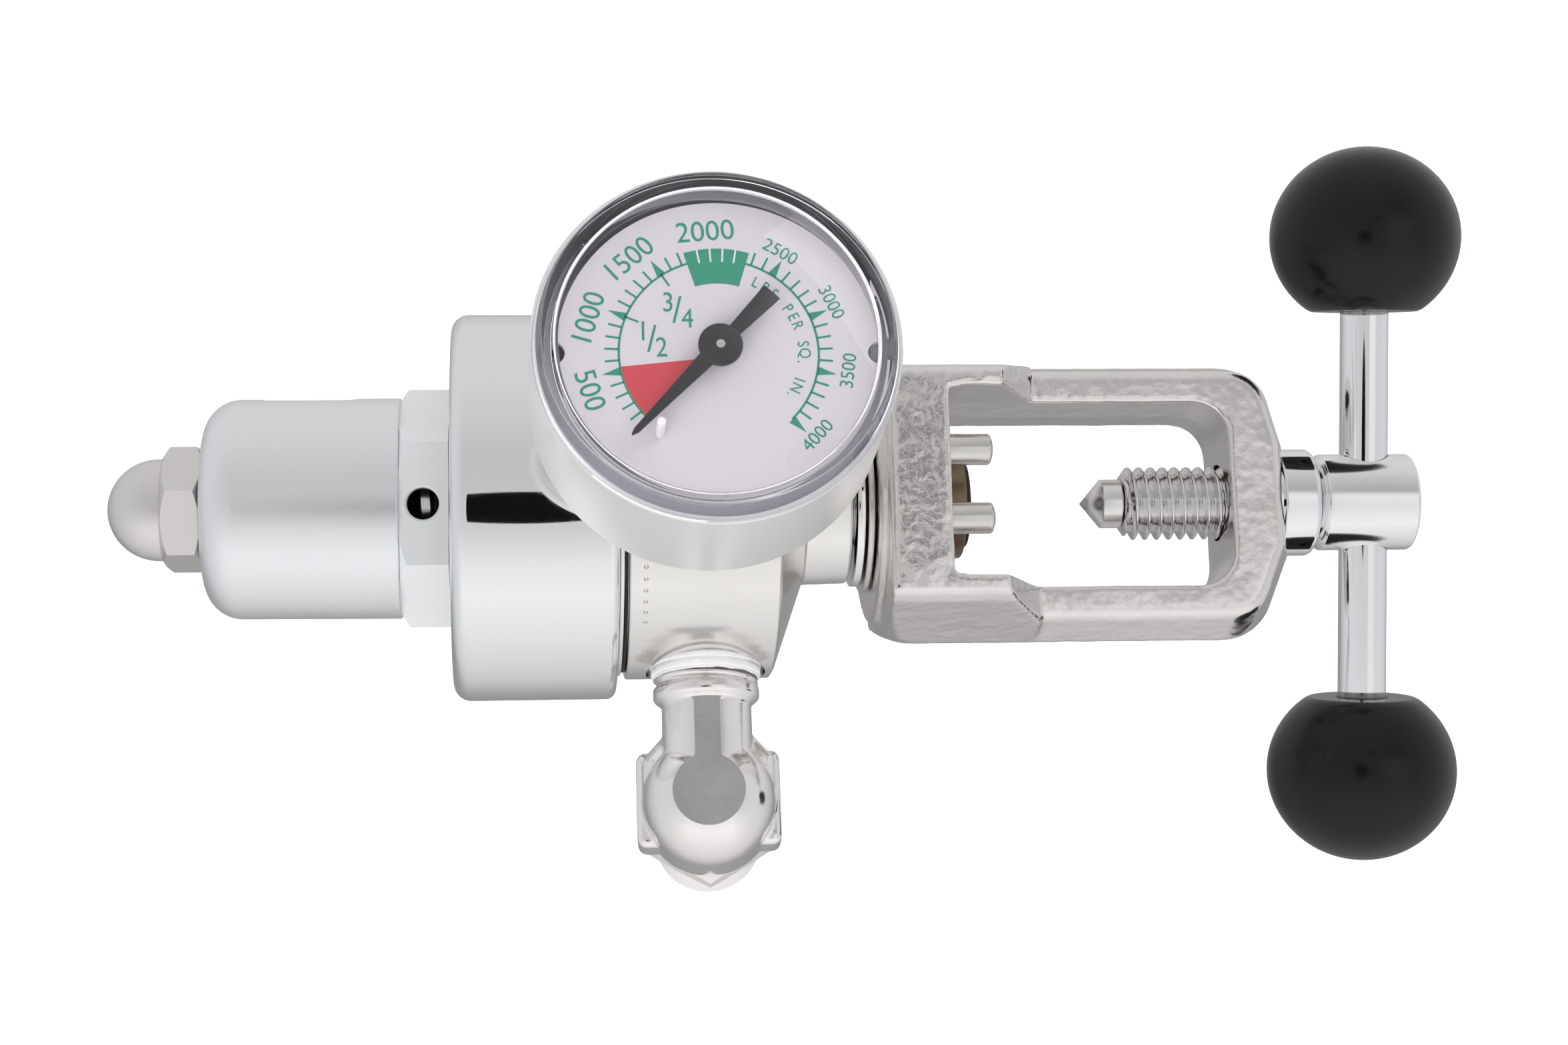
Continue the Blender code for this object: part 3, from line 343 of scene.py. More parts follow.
def face_skin(name, source, height, place):
    """A thin plate over a solid's flat front face, at a height along its own Z axis."""
    bm = bmesh.new()
    bm.from_mesh(source.data)
    bm.transform(place.inverted())
    others = [face for face in bm.faces
              if abs(face.calc_center_median().z / MM - height) > 0.01 or abs(face.normal.z) < 0.99]
    bmesh.ops.delete(bm, geom=others, context="FACES")
    raised = bmesh.ops.extrude_face_region(bm, geom=list(bm.faces), use_keep_orig=True)["geom"]
    moved = [item for item in raised if isinstance(item, bmesh.types.BMVert)]
    bmesh.ops.translate(bm, verts=moved, vec=Vector((0.0, 0.0, 0.02)) * MM)
    return to_object(name, bm, place)


def roughen(target, amount, scale, seed=0.0):
    """Moves the skin along its normals by smooth noise, as a casting or a wrapped tape is uneven."""
    mesh = target.data
    offset = Vector((seed, seed * 0.7, seed * 1.3))
    moves = []
    for vertex in mesh.vertices:
        value = noise.noise(vertex.co / MM * scale + offset)
        value += 0.5 * noise.noise(vertex.co / MM * scale * 2.3 + offset)
        moves.append(vertex.co + vertex.normal * value * amount * MM)
    for vertex, place in zip(mesh.vertices, moves):
        vertex.co = place


def use(target, material, slot, body, *nodes):
    """Gives a piece its material, the body it rides on and the CAD nodes it stands for. The slot argument is
    not used.
    """
    target.data.materials.clear()
    target.data.materials.append(material)
    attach(target, body)
    if nodes:
        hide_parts(*nodes)
    return target


def skin(node, corners, material, body=REGULATOR, **how):
    """A turned piece that stands for one CAD node."""
    use(lathe(node + "_skin", corners, **how), material, node, body, node)


# ---------------------------------------------------------------- material helpers

def add(tree, kind, settings=None, **inputs):
    """A shader node with its settings and inputs, where an input is a value or another node's output."""
    made = tree.nodes.new("ShaderNode" + kind)
    for key, value in (settings or {}).items():
        setattr(made, key, value)
    for key, value in inputs.items():
        numbered = key[0] == "i" and key[1:].isdigit()
        socket = made.inputs[int(key[1:])] if numbered else made.inputs[key.replace("_", " ")]
        if isinstance(value, bpy.types.NodeSocket):
            tree.links.new(value, socket)
        else:
            socket.default_value = value
    return made


def ramp(tree, value, *stops):
    """A colour ramp from (position, grey or colour) stops."""
    made = add(tree, "ValToRGB", Fac=value)
    elements = made.color_ramp.elements
    while len(elements) < len(stops):
        elements.new(0.5)
    for element, (position, colour) in zip(elements, stops):
        element.position = position
        element.color = (colour, colour, colour, 1.0) if isinstance(colour, float) else (*colour, 1.0)
    return made.outputs[0]


def mixed(tree, share, first, second):
    """A mix of two colours, each of them a node's output or a plain colour."""
    made = add(tree, "Mix", {"data_type": "RGBA"}, i0=share)
    for socket, colour in ((made.inputs[6], first), (made.inputs[7], second)):
        if isinstance(colour, bpy.types.NodeSocket):
            tree.links.new(colour, socket)
        else:
            socket.default_value = (*colour, 1.0)
    return made.outputs[2]


def maths(tree, operation, *values):
    made = add(tree, "Math", {"operation": operation})
    for socket, value in zip(made.inputs, values):
        if isinstance(value, bpy.types.NodeSocket):
            tree.links.new(value, socket)
        else:
            socket.default_value = value
    return made.outputs[0]


def started(name):
    material = bpy.data.materials.new(name)
    material.use_nodes = True
    tree = material.node_tree
    shader = tree.nodes["Principled BSDF"]
    place = add(tree, "TexCoord").outputs["Object"]
    return material, tree, shader, place


GRAIN_STRETCH = {
    "X": (1.0, 0.02, 0.02), "Y": (0.02, 1.0, 0.02), "Z": (0.02, 0.02, 1.0),
    "along_X": (0.015, 1.0, 1.0), "along_Y": (1.0, 0.015, 1.0), "along_Z": (1.0, 1.0, 0.015),
}


def metal(name, colour, roughness, grain=None, grain_depth=0.0, spread=0.05, peel=0.0, peel_scale=1200.0,
          stain=0.04, scratches=0.0, metallic=1.0):
    """A plated or machined metal: stains, uneven roughness, grain lines, peel and fine scratches.

    Grain X, Y or Z runs in lines round that axis, as turning leaves them, and along_X to along_Z
    runs in lines along it, as brushing does.
    """
    material, tree, shader, place = started(name)
    shader.inputs["Metallic"].default_value = metallic
    clouds = add(tree, "TexNoise", Vector=place, Scale=140.0, Detail=5.0, Roughness=0.6)
    other = tuple(c * (1.0 - 3.0 * stain) for c in colour)
    share = ramp(tree, clouds.outputs[0], (0.35, 0.0), (0.75, min(1.0, stain * 8.0)))
    tree.links.new(mixed(tree, share, colour, other), shader.inputs["Base Color"])
    fine = add(tree, "TexNoise", Vector=place, Scale=900.0, Detail=4.0, Roughness=0.7)
    uneven = maths(tree, "MULTIPLY_ADD", fine.outputs[0], spread * 2.0, roughness - spread)
    if scratches:
        lines = add(tree, "TexVoronoi", {"feature": "DISTANCE_TO_EDGE"}, Vector=place, Scale=260.0,
                    Randomness=1.0)
        hair = ramp(tree, lines.outputs[0], (0.0, 1.0), (0.012, 0.0))
        uneven = maths(tree, "MULTIPLY_ADD", hair, scratches, uneven)
    tree.links.new(uneven, shader.inputs["Roughness"])
    normal = None
    if grain:
        scaled = add(tree, "Mapping", Vector=place, Scale=GRAIN_STRETCH[grain])
        lines = add(tree, "TexNoise", Vector=scaled.outputs[0], Scale=3600.0, Detail=6.0, Roughness=0.75)
        bump = add(tree, "Bump", Strength=grain_depth, Distance=0.00004, Height=lines.outputs[0])
        normal = bump.outputs[0]
    if peel:
        skin = add(tree, "TexNoise", Vector=place, Scale=peel_scale, Detail=3.0, Roughness=0.55)
        bump = add(tree, "Bump", Strength=peel, Distance=0.0001, Height=skin.outputs[0])
        if normal is not None:
            tree.links.new(normal, bump.inputs["Normal"])
        normal = bump.outputs[0]
    if normal is not None:
        tree.links.new(normal, shader.inputs["Normal"])
    return material


def plain(name, colour, roughness, variation=0.1, bump=0.0, bump_scale=1500.0, specular=0.5, subsurface=0.0):
    """A moulded, painted or printed surface with slight colour and roughness variation."""
    material, tree, shader, place = started(name)
    shader.inputs["Specular IOR Level"].default_value = specular
    shader.inputs["Subsurface Weight"].default_value = subsurface
    shader.inputs["Subsurface Radius"].default_value = (0.0006, 0.0006, 0.0006)
    clouds = add(tree, "TexNoise", Vector=place, Scale=500.0, Detail=5.0, Roughness=0.65)
    darker = tuple(c * (1.0 - variation) for c in colour)
    tree.links.new(mixed(tree, clouds.outputs[0], colour, darker), shader.inputs["Base Color"])
    uneven = maths(tree, "MULTIPLY_ADD", clouds.outputs[0], 0.12, roughness - 0.06)
    tree.links.new(uneven, shader.inputs["Roughness"])
    if bump:
        fine = add(tree, "TexNoise", Vector=place, Scale=bump_scale, Detail=4.0, Roughness=0.6)
        made = add(tree, "Bump", Strength=bump, Distance=0.00006, Height=fine.outputs[0])
        tree.links.new(made.outputs[0], shader.inputs["Normal"])
    return material


def clear_plastic(name):
    material, tree, shader, place = started(name)
    shader.inputs["Transmission Weight"].default_value = 1.0
    shader.inputs["IOR"].default_value = 1.46
    shader.inputs["Base Color"].default_value = (0.965, 0.96, 1.0, 1.0)
    clouds = add(tree, "TexNoise", Vector=place, Scale=300.0, Detail=4.0)
    tree.links.new(maths(tree, "MULTIPLY_ADD", clouds.outputs[0], 0.02, 0.0), shader.inputs["Roughness"])
    return material


CHROME = metal("polished_chrome", (0.86, 0.86, 0.87), 0.045, spread=0.015, scratches=0.03, stain=0.01)
CHROME_BAR = metal("bar_chrome", (0.88, 0.88, 0.89), 0.06, spread=0.02, scratches=0.03, stain=0.01)
CHROME_HUB = metal("hub_chrome", (0.86, 0.86, 0.87), 0.10, grain="X", grain_depth=0.12, spread=0.02,
                   stain=0.01)
SATIN_NICKEL = metal("satin_nickel", (0.76, 0.735, 0.73), 0.33, peel=0.10, peel_scale=2500.0, stain=0.03)
SATIN_ALUMINIUM = metal("satin_aluminium", (0.87, 0.88, 0.90), 0.34, grain="X", grain_depth=0.10, stain=0.02)
# Brushed aluminium for the bonnet's hex, lighter and more diffuse than the bonnet's own: painted light on its
# flats, which face the darker part of the tent.
LIT_FLAT_ALUMINIUM = metal("brushed_aluminium_painted_light", (0.90, 0.92, 0.93), 0.34, grain="along_Y", grain_depth=0.10,
                       stain=0.02, metallic=0.65)
BODY_NICKEL = metal("body_nickel", (0.83, 0.81, 0.79), 0.115, grain="X", grain_depth=0.22, peel=0.06,
                    stain=0.03)
CAST_NICKEL = metal("cast_nickel", (0.82, 0.785, 0.775), 0.16, peel=0.32, peel_scale=1100.0, spread=0.07,
                    stain=0.05)
ELBOW_NICKEL = metal("elbow_nickel", (0.92, 0.89, 0.88), 0.13, peel=0.18, peel_scale=700.0, stain=0.04)
# A lighter, more diffuse copy of the satin nickel: painted light on the fitting where the elbow shades it.
LIT_FITTING_NICKEL = metal("fitting_nickel_painted_light", (0.84, 0.81, 0.80), 0.30, peel=0.10, stain=0.03, metallic=0.60)
STEEL = metal("pin_steel", (0.72, 0.70, 0.67), 0.22, grain="X", grain_depth=0.2, stain=0.05)
CASE_STEEL = metal("case_steel", (0.82, 0.815, 0.80), 0.28, grain="along_Z", grain_depth=0.10, spread=0.005,
                   stain=0.02, metallic=0.66)
BRONZE = metal("seal_bronze", (0.26, 0.19, 0.13), 0.35, peel=0.2, stain=0.1)
CHROME_TIP = metal("tip_chrome", (0.84, 0.83, 0.82), 0.24, grain="X", grain_depth=0.15, stain=0.06)
# Chrome darkened all over, a painted shade for the troughs of the clamp screw's thread.
SHADED_THREAD_CHROME = metal("thread_chrome_painted_shade", (0.76, 0.75, 0.75), 0.12, spread=0.03, stain=0.05)
BRASS = metal("plain_brass", (0.75, 0.58, 0.30), 0.28, grain="Z", grain_depth=0.2, stain=0.05)
RUBBER = plain("black_rubber", (0.018, 0.018, 0.018), 0.6, bump=0.15)
PHENOLIC = plain("black_phenolic", (0.004, 0.004, 0.005), 0.20, variation=0.3, bump=0.05, bump_scale=900.0,
                 specular=0.28)
POINTER_BLACK = plain("pointer_black", (0.003, 0.003, 0.004), 0.30, bump=0.05)
DIAL_WHITE = plain("dial_white", (0.60, 0.565, 0.575), 0.5, variation=0.02, bump=0.02)
PRINT_GREEN = plain("print_green", (0.006, 0.24, 0.135), 0.5, variation=0.05)
PRINT_RED = plain("print_red", (0.54, 0.035, 0.05), 0.5, variation=0.05)
PRINT_WHITE = plain("print_white", (0.68, 0.65, 0.66), 0.5, variation=0.02)
PTFE = plain("thread_tape", (0.88, 0.87, 0.88), 0.4, variation=0.05, bump=0.3, subsurface=0.3)
WHITE_PLASTIC = plain("white_plastic", (0.90, 0.89, 0.90), 0.35, variation=0.03)
LENS = clear_plastic("clear_lens")


def shaded_lining(name):
    """A painted shade on the rim's inner wall: its colour darkens from the near side to the far one, as the
    shadow in the case's gap does.
    """
    material, tree, shader, place = started(name)
    parts = add(tree, "SeparateXYZ", Vector=place)
    clouds = add(tree, "TexNoise", Vector=place, Scale=400.0, Detail=4.0)
    # the painted shade deepens with the Y coordinate, towards the far side of the rim
    share = maths(tree, "MULTIPLY_ADD", parts.outputs[1], 26.0, 0.5)
    share = maths(tree, "MULTIPLY_ADD", clouds.outputs[0], 0.08, share)
    shade_ramp = ramp(tree, share, (0.15, (0.42, 0.41, 0.45)), (0.50, (0.20, 0.20, 0.22)),
                 (0.85, (0.015, 0.015, 0.018)))
    tree.links.new(shade_ramp, shader.inputs["Base Color"])
    shader.inputs["Roughness"].default_value = 0.5
    return material


PAINTED_SHADE_LINING = shaded_lining("rim_painted_shade")
BRUSHED_FACE = metal("brushed_face", (0.60, 0.59, 0.61), 0.34, grain="along_X", grain_depth=0.9, stain=0.10)


# ---------------------------------------------------------------- left end

def make_acorn():
    dome = arc((-100.1, 0.0), 6.5, 180, 90, 24)
    acorn = lathe("acorn_dome", dome + [(-94.6, 6.5), (-94.6, 0.0)], steps=128)
    nut = prism("acorn_hex", hexagon(14.3, facing(ACORN_TURN)), "X", -99.5, -94.6)
    edge = [(-99.5, 0.0), (-99.5, 6.75, 0.2), (-98.5, 8.3), (-95.2, 8.35), (-94.6, 7.4), (-94.6, 0.0)]
    trim(nut, lathe("acorn_edge", edge, steps=128))
    join(acorn, nut, sharp=25.0)
    cut(acorn, rod("acorn_thread", 4.25, "X", -103.1, -93.0))
    use(acorn, SATIN_NICKEL, "acorn_nut", REGULATOR, "acorn_nut")


def make_bonnet():
    outer = [(-94.3, 4.2, 0.3), (-94.3, 14.0, 5.8), (-69.45, 14.15, 0.3), (-69.4, 12.35, 0.1), (-63.1, 12.35)]
    outer += [(-63.1, 13.9), (-59.7, 13.9), (-59.7, 19.3), (-52.3, 19.3)]
    inner = [(-52.3, 15.2), (-57.5, 15.2), (-57.5, 10.4), (-88.6, 10.4), (-89.6, 9.4), (-89.6, 4.2)]
    bonnet = lathe("bonnet", outer + inner, steps=160, ring=True, fillet_steps=14)
    spot_frame = Matrix.Rotation(-math.radians(SPOT_TURN), 4, "X")
    vent_frame = Matrix.Rotation(-math.radians(BONNET_TURN), 4, "X") @ move(VENT_X, 0.0, 0.0)
    vent = lathe("vent_drill", [(8.0, 0.0), (8.0, 2.0), (18.0, 2.0), (18.0, 0.0)], "Z", 64,
                 place=vent_frame)
    cut(bonnet, rod("spot_mill", 6.5, "Z", 13.55, 18.0, (-81.0, 0.0), place=spot_frame), vent)
    use(bonnet, SATIN_ALUMINIUM, "spring_bonnet", REGULATOR, "spring_bonnet")
    nut = prism("bonnet_hex", hexagon(26.5, facing(BONNET_TURN)), "X", -69.42, -63.3)
    edge = [(-69.42, 0.0), (-69.42, 13.9, 0.2), (-68.5, 15.35), (-63.3, 15.35), (-63.3, 0.0)]
    trim(nut, lathe("bonnet_edge", edge, steps=160))
    vent = lathe("vent_drill", [(8.0, 0.0), (8.0, 2.0), (13.0, 2.0), (14.0, 3.0), (14.0, 0.0)], "Z", 64,
                 place=vent_frame)
    core = [(-70.0, 0.0), (-70.0, 12.3), (-62.0, 12.3), (-62.0, 0.0)]
    cut(nut, lathe("bonnet_core", core, steps=128), vent)
    use(nut, LIT_FLAT_ALUMINIUM, "spring_bonnet", REGULATOR)


def make_union():
    union = [(-63.0, 14.2, 0.2), (-63.0, UNION_RADIUS, 2.2), (-42.4, UNION_RADIUS, 1.2)]
    union += [(-42.4, 20.5, 0.2), (-60.0, 20.5), (-60.0, 14.2)]
    skin("union_ring", union, CHROME, steps=192, ring=True, fillet_steps=10)
    seam = [(-42.3, 20.5), (-42.3, 21.8, 0.1), (-41.8, 21.8, 0.1), (-41.8, 20.5)]
    skin("seam_ring", seam, SATIN_ALUMINIUM, ring=True)
    gasket = [(-41.7, 20.5), (-41.7, 21.4, 0.1), (-41.3, 21.4, 0.1), (-41.3, 20.5)]
    skin("dust_gasket", gasket, RUBBER, ring=True)


def make_body():
    outer = [(-50.9, 15.0), (-50.9, 20.05), (-41.2, 20.05), (-41.2, BODY_RADIUS, 0.3)]
    outer += [(-22.7, BODY_RADIUS, 0.35), (-22.3, 21.6, 0.3), (-18.3, 10.3, 0.5), (-12.3, 10.15, 0.5)]
    inner = [(-12.3, 5.05), (-20.6, 5.05), (-20.6, 1.6), (-27.5, 1.6), (-27.5, 4.3), (-47.0, 4.3)]
    inner += [(-47.0, 15.0)]
    body = lathe("body", outer + inner, steps=192, ring=True, fillet_steps=6)
    dots = []
    for k in range(-14, 15):
        place = Matrix.Rotation(math.radians(DOT_STEP * k), 4, "X") @ move(-39.2, 0.0, 0.0)
        dots.append(lathe(f"dot_{k}", arc((BODY_RADIUS, 0.0), 0.30, 180, 0, 6), "Z", 10, place=place))
    cut(body,
        rod("gauge_port", 5.1, "Z", 14.0, 26.0, (GAUGE_X, 0.0)),
        rod("outlet_port", 6.85, "Y", -26.0, -13.0, (OUTLET_X, 0.0)),
        rod("outlet_spot", 7.6, "Y", -26.0, -19.6, (OUTLET_X, 0.0)),
        *dots, sharp=30.0)
    use(body, BODY_NICKEL, "regulator_body", REGULATOR, "regulator_body")
    lock = [(-11.8, 5.3), (-11.8, 10.6, 0.15), (-10.8, 10.6, 0.15), (-10.8, 5.3)]
    skin("lock_washer", lock, CHROME, ring=True)
    thrust = [(-10.5, 5.3), (-10.5, 11.4, 0.25), (-9.7, 11.4, 0.25), (-9.7, 5.3)]
    skin("thrust_washer", thrust, STEEL, ring=True)


# ---------------------------------------------------------------- yoke

def make_yoke():
    corners = [(YOKE_LEFT, -YOKE_HALF_HEIGHT), (YOKE_RIGHT - 4.7, -YOKE_HALF_HEIGHT), (YOKE_RIGHT, -7.0),
               (YOKE_RIGHT, 7.0), (YOKE_RIGHT - 3.0, YOKE_HALF_HEIGHT), (YOKE_LEFT, YOKE_HALF_HEIGHT)]
    half = [(0.15, 0.0), (0.5, 0.1), (6.0, 1.85), (6.7, 2.3), (7.2, 3.1)]
    levels = [(-height, inset) for height, inset in reversed(half)] + half
    yoke = drafted("yoke_casting", corners, [4.5, 7.0, 3.6, 3.6, 7.0, 4.5], levels)
    side = [(-8.2, -10.0), (-0.6, -10.0), (0.0, -9.4), (11.8, 0.0), (11.8, 6.8), (6.3, 16.7)]
    side += [(5.9, BLOCK_TOP), (-8.2, BLOCK_TOP), (YOKE_LEFT, 16.6), (YOKE_LEFT, -9.6)]
    block = prism("yoke_block", side, "Y", -19.1, 19.1)
    section = [(14.9, -10.0), (YOKE_HALF_HEIGHT, -0.3), (YOKE_HALF_HEIGHT, 0.3), (15.2, 14.8), (14.6, 16.2)]
    section += [(13.8, BLOCK_TOP)]
    section += [(-y, z) for y, z in reversed(section)]
    trim(block, prism("yoke_block_section", section, "X", -9.6, 14.0))
    plan = [(-8.62, -18.32), (14.0, -18.32), (14.0, 18.32), (-8.62, 18.32)]
    trim(block, drafted("yoke_block_plan", plan, [4.5, 0.5, 0.5, 4.5], [(-12.0, 0.0), (19.0, 0.0)]))
    boss = [(-9.5, 0.0), (-9.5, 15.7, 1.0), (-7.2, 15.7, 0.4), (-7.2, 0.0)]
    mark = rod("ejector_mark", 0.75, "Z", 15.0, 17.12, (3.9, 13.3))
    join(yoke, block, lathe("yoke_boss", boss, steps=128), mark)
    window = [(0.0, -WINDOW_HALF_HEIGHT), (WINDOW_RIGHT, -WINDOW_HALF_HEIGHT),
              (WINDOW_RIGHT, WINDOW_HALF_HEIGHT), (0.0, WINDOW_HALF_HEIGHT)]
    half = [(0.2, -0.02), (7.2, -0.35), (20.0, -0.35)]
    levels = [(-height, inset) for height, inset in reversed(half)] + [(0.0, 0.0)] + half
    opening = drafted("yoke_window", window, [1.2, 4.2, 4.2, 1.2], levels)
    rake = [(-0.75, 17.0), (-0.8, 20.0), (1.0, 20.0), (1.0, 7.5), (0.0, 7.5)]
    cut(yoke, opening, prism("yoke_wall_rake", rake, "Y", -11.9, 11.9))
    soften(yoke, 0.28, 8)
    roughen(yoke, 0.05, 0.35, seed=3.0)
    roughen(yoke, 0.018, 1.1, seed=5.0)
    places = {}
    for side in (1, -1):
        turn = math.radians(PIN_SPREAD * side)
        places[side] = (PIN_CIRCLE * math.sin(turn), PIN_CIRCLE * math.cos(turn))
    drills = [rod(f"pin_drill_{side}", 2.05, "X", -6.2, 1.0, centre) for side, centre in places.items()]
    cut(yoke,
        rod("yoke_bore", 5.3, "X", -12.0, 1.0),
        rod("yoke_counterbore", 6.7, "X", -4.9, 1.0),
        rod("screw_bore", 5.05, "X", 34.0, 49.0),
        rod("spot_face", 7.2, "X", 44.6, 49.0),
        rod("bushing_bore", 6.35, "X", 40.1, 49.0),
        *drills, sharp=50.0)
    yoke.data.transform(YOKE_FRAME)
    use(yoke, CAST_NICKEL, "yoke", REGULATOR, "yoke")
    pin = [(-5.9, 0.0), (-5.9, 1.985, 0.3), (4.65, 1.985, 0.5), (5.0, 0.9, 0.6), (5.0, 0.0)]
    for name, side in (("index_pin_upper", 1), ("index_pin_lower", -1)):
        skin(name, pin, STEEL, steps=64, place=YOKE_FRAME @ move(0.0, *places[side]))


def make_seal():
    ring = [(0.15, 5.0), (0.15, 7.0, 0.1), (2.8, 7.0, 0.35), (2.8, 5.0, 0.2)]
    skin("seal_ring", ring, BRONZE, ring=True)
    rubber = [(0.15, 3.3), (0.15, 4.8), (2.9, 4.8), (2.9, 5.6, 0.2), (3.5, 5.6, 0.35), (3.5, 3.3, 0.3)]
    skin("seal_rubber", rubber, RUBBER, ring=True)
    nipple = [(-20.0, 2.9), (-20.0, 4.7, 0.3), (-4.6, 4.9), (-4.6, 6.4, 0.3), (-0.3, 6.4, 0.3), (-0.3, 3.0)]
    nipple += [(4.0, 3.0, 0.5), (4.0, 1.4, 0.2), (-12.2, 1.4), (-12.2, 2.9)]
    skin("inlet_nipple", nipple, STEEL, ring=True)


# ---------------------------------------------------------------- clamp

def make_clamp():
    collar = [(40.35, 4.95), (40.35, 6.2, 0.3), (44.7, 6.2), (44.7, 7.05, 0.25), (49.65, 7.05, 1.4)]
    collar += [(49.65, 4.95, 0.3)]
    skin("screw_bushing", collar, CHROME, ring=True, place=YOKE_FRAME, fillet_steps=8)
    tip = [(18.7, 0.0), (21.45, 3.2, 0.12), (24.0, 3.22, 0.15), (24.0, 1.9), (29.0, 1.9, 0.2), (29.0, 0.0)]
    skin("clamp_tip", tip, CHROME_TIP, "swivel_tip", steps=96)

    screw = threaded("clamp_screw_thread", "X", 24.2, 49.4, 4.80, 3.85, SCREW_PITCH)
    join(screw, rod("screw_shank", 3.1, "X", 47.0, 53.3), sharp=50.0)
    cut(screw, rod("tip_bore", 1.98, "X", 22.0, 29.4), sharp=50.0)
    use(screw, SHADED_THREAD_CHROME, "clamp_screw", HANDLE, "clamp_screw")

    shape = [(49.95, 0.0), (49.95, 5.4, 0.1), (50.85, HUB_RADIUS, 0.15), (63.0, HUB_RADIUS, 0.5), (63.0, 0.0)]
    hub = lathe("handle_hub_skin", shape, steps=192)
    cut(hub,
        rod("shank_bore", 3.3, "X", 48.0, 53.5),
        rod("bar_bore", 3.29, "Y", -9.0, 9.0, place=BAR_FRAME), sharp=30.0)
    use(hub, CHROME_HUB, "handle_hub", HANDLE, "handle_hub")
    bar = [(-BAR_HALF_LENGTH, 0.0), (-BAR_HALF_LENGTH, BAR_RADIUS, 0.4)]
    bar += [(BAR_HALF_LENGTH, BAR_RADIUS, 0.4), (BAR_HALF_LENGTH, 0.0)]
    skin("t_bar", bar, CHROME_BAR, HANDLE, axis="Y", place=BAR_FRAME)
    flat = math.degrees(math.acos((BALL_CENTRE - BALL_FLAT) / BALL_HALF_LENGTH))
    round_part = arc((BALL_CENTRE, 0.0), BALL_HALF_LENGTH, 0, 177.5 - flat, 60)
    ball = [(along, radius * BALL_RADIUS / BALL_HALF_LENGTH) for along, radius in round_part]
    ball += [(BALL_FLAT, 6.9, 0.5), (BALL_FLAT, 3.32, 0.25), (33.3, 3.32), (33.3, 0.0)]
    for name, side in (("ball_upper", 1), ("ball_lower", -1)):
        shape = [(corner[0] * side, *corner[1:]) for corner in ball]
        skin(name, shape, PHENOLIC, HANDLE, axis="Y", place=BAR_FRAME, fillet_steps=5)


# ---------------------------------------------------------------- gauge

def polar(radius, degrees):
    return Vector((math.cos(math.radians(degrees)), math.sin(math.radians(degrees)))) * radius


def value_angle(value):
    """The dial's direction for a pressure value, clockwise from zero at the lower left."""
    return SCALE_START - SCALE_SWEEP * value / SCALE_MAX


def printed(name, outlines, low, high, material):
    """Marks on the dial: outlines in the gauge's own frame, as thin plates."""
    bm = bmesh.new()
    for outline in outlines:
        base = [bm.verts.new(Vector((x, y, low)) * MM) for x, y in outline]
        top = [bm.verts.new(Vector((x, y, high)) * MM) for x, y in outline]
        bm.faces.new(base)
        bm.faces.new(top)
        for k in range(len(base)):
            bm.faces.new((base[k - 1], base[k], top[k], top[k - 1]))
    use(to_object(name, bm, GAUGE_FRAME, 20.0), material, "gauge_dial", REGULATOR)


def stroke(start, end, width):
    """A straight mark from start to end as a four-cornered outline."""
    along = (end - start).normalized()
    across = Vector((-along.y, along.x)) * width / 2
    return [start + across, end + across, end - across, start - across]


def band(inner, outer, first, last, steps):
    """An arc band between two directions as one outline."""
    angles = [first + (last - first) * k / steps for k in range(steps + 1)]
    return [polar(outer, angle) for angle in angles] + [polar(inner, angle) for angle in reversed(angles)]


def lettering(name, items, low, thickness):
    """Printed figures, each as (text, size, x, y, turn in degrees, width share), in one mesh."""
    cap_height = 0.73
    bm = bmesh.new()
    for text, size, x, y, turn, width in items:
        curve = bpy.data.curves.new(name, "FONT")
        curve.body = text
        curve.size = size * MM / cap_height
        curve.align_x = "CENTER"
        curve.align_y = "CENTER"
        curve.extrude = thickness / 2 * MM
        curve.resolution_u = 5
        holder = bpy.data.objects.new(name, curve)
        bpy.context.scene.collection.objects.link(holder)
        graph = bpy.context.evaluated_depsgraph_get()
        mesh = bpy.data.meshes.new_from_object(holder.evaluated_get(graph), depsgraph=graph)
        across = [vertex.co.x for vertex in mesh.vertices]
        up = [vertex.co.y for vertex in mesh.vertices]
        shift = Matrix.Translation((-(min(across) + max(across)) / 2, -(min(up) + max(up)) / 2, 0.0))
        place = move(x, y, low) @ Matrix.Rotation(math.radians(turn), 4, "Z")
        mesh.transform(place @ Matrix.Diagonal((width, 1.0, 1.0, 1.0)) @ shift)
        bm.from_mesh(mesh)
        bpy.data.objects.remove(holder)
        bpy.data.curves.remove(curve)
        bpy.data.meshes.remove(mesh)
    mesh = bpy.data.meshes.new(name)
    bm.to_mesh(mesh)
    bm.free()
    mesh.transform(GAUGE_FRAME)
    made = bpy.data.objects.new(name, mesh)
    bpy.context.scene.collection.objects.link(made)
    return made


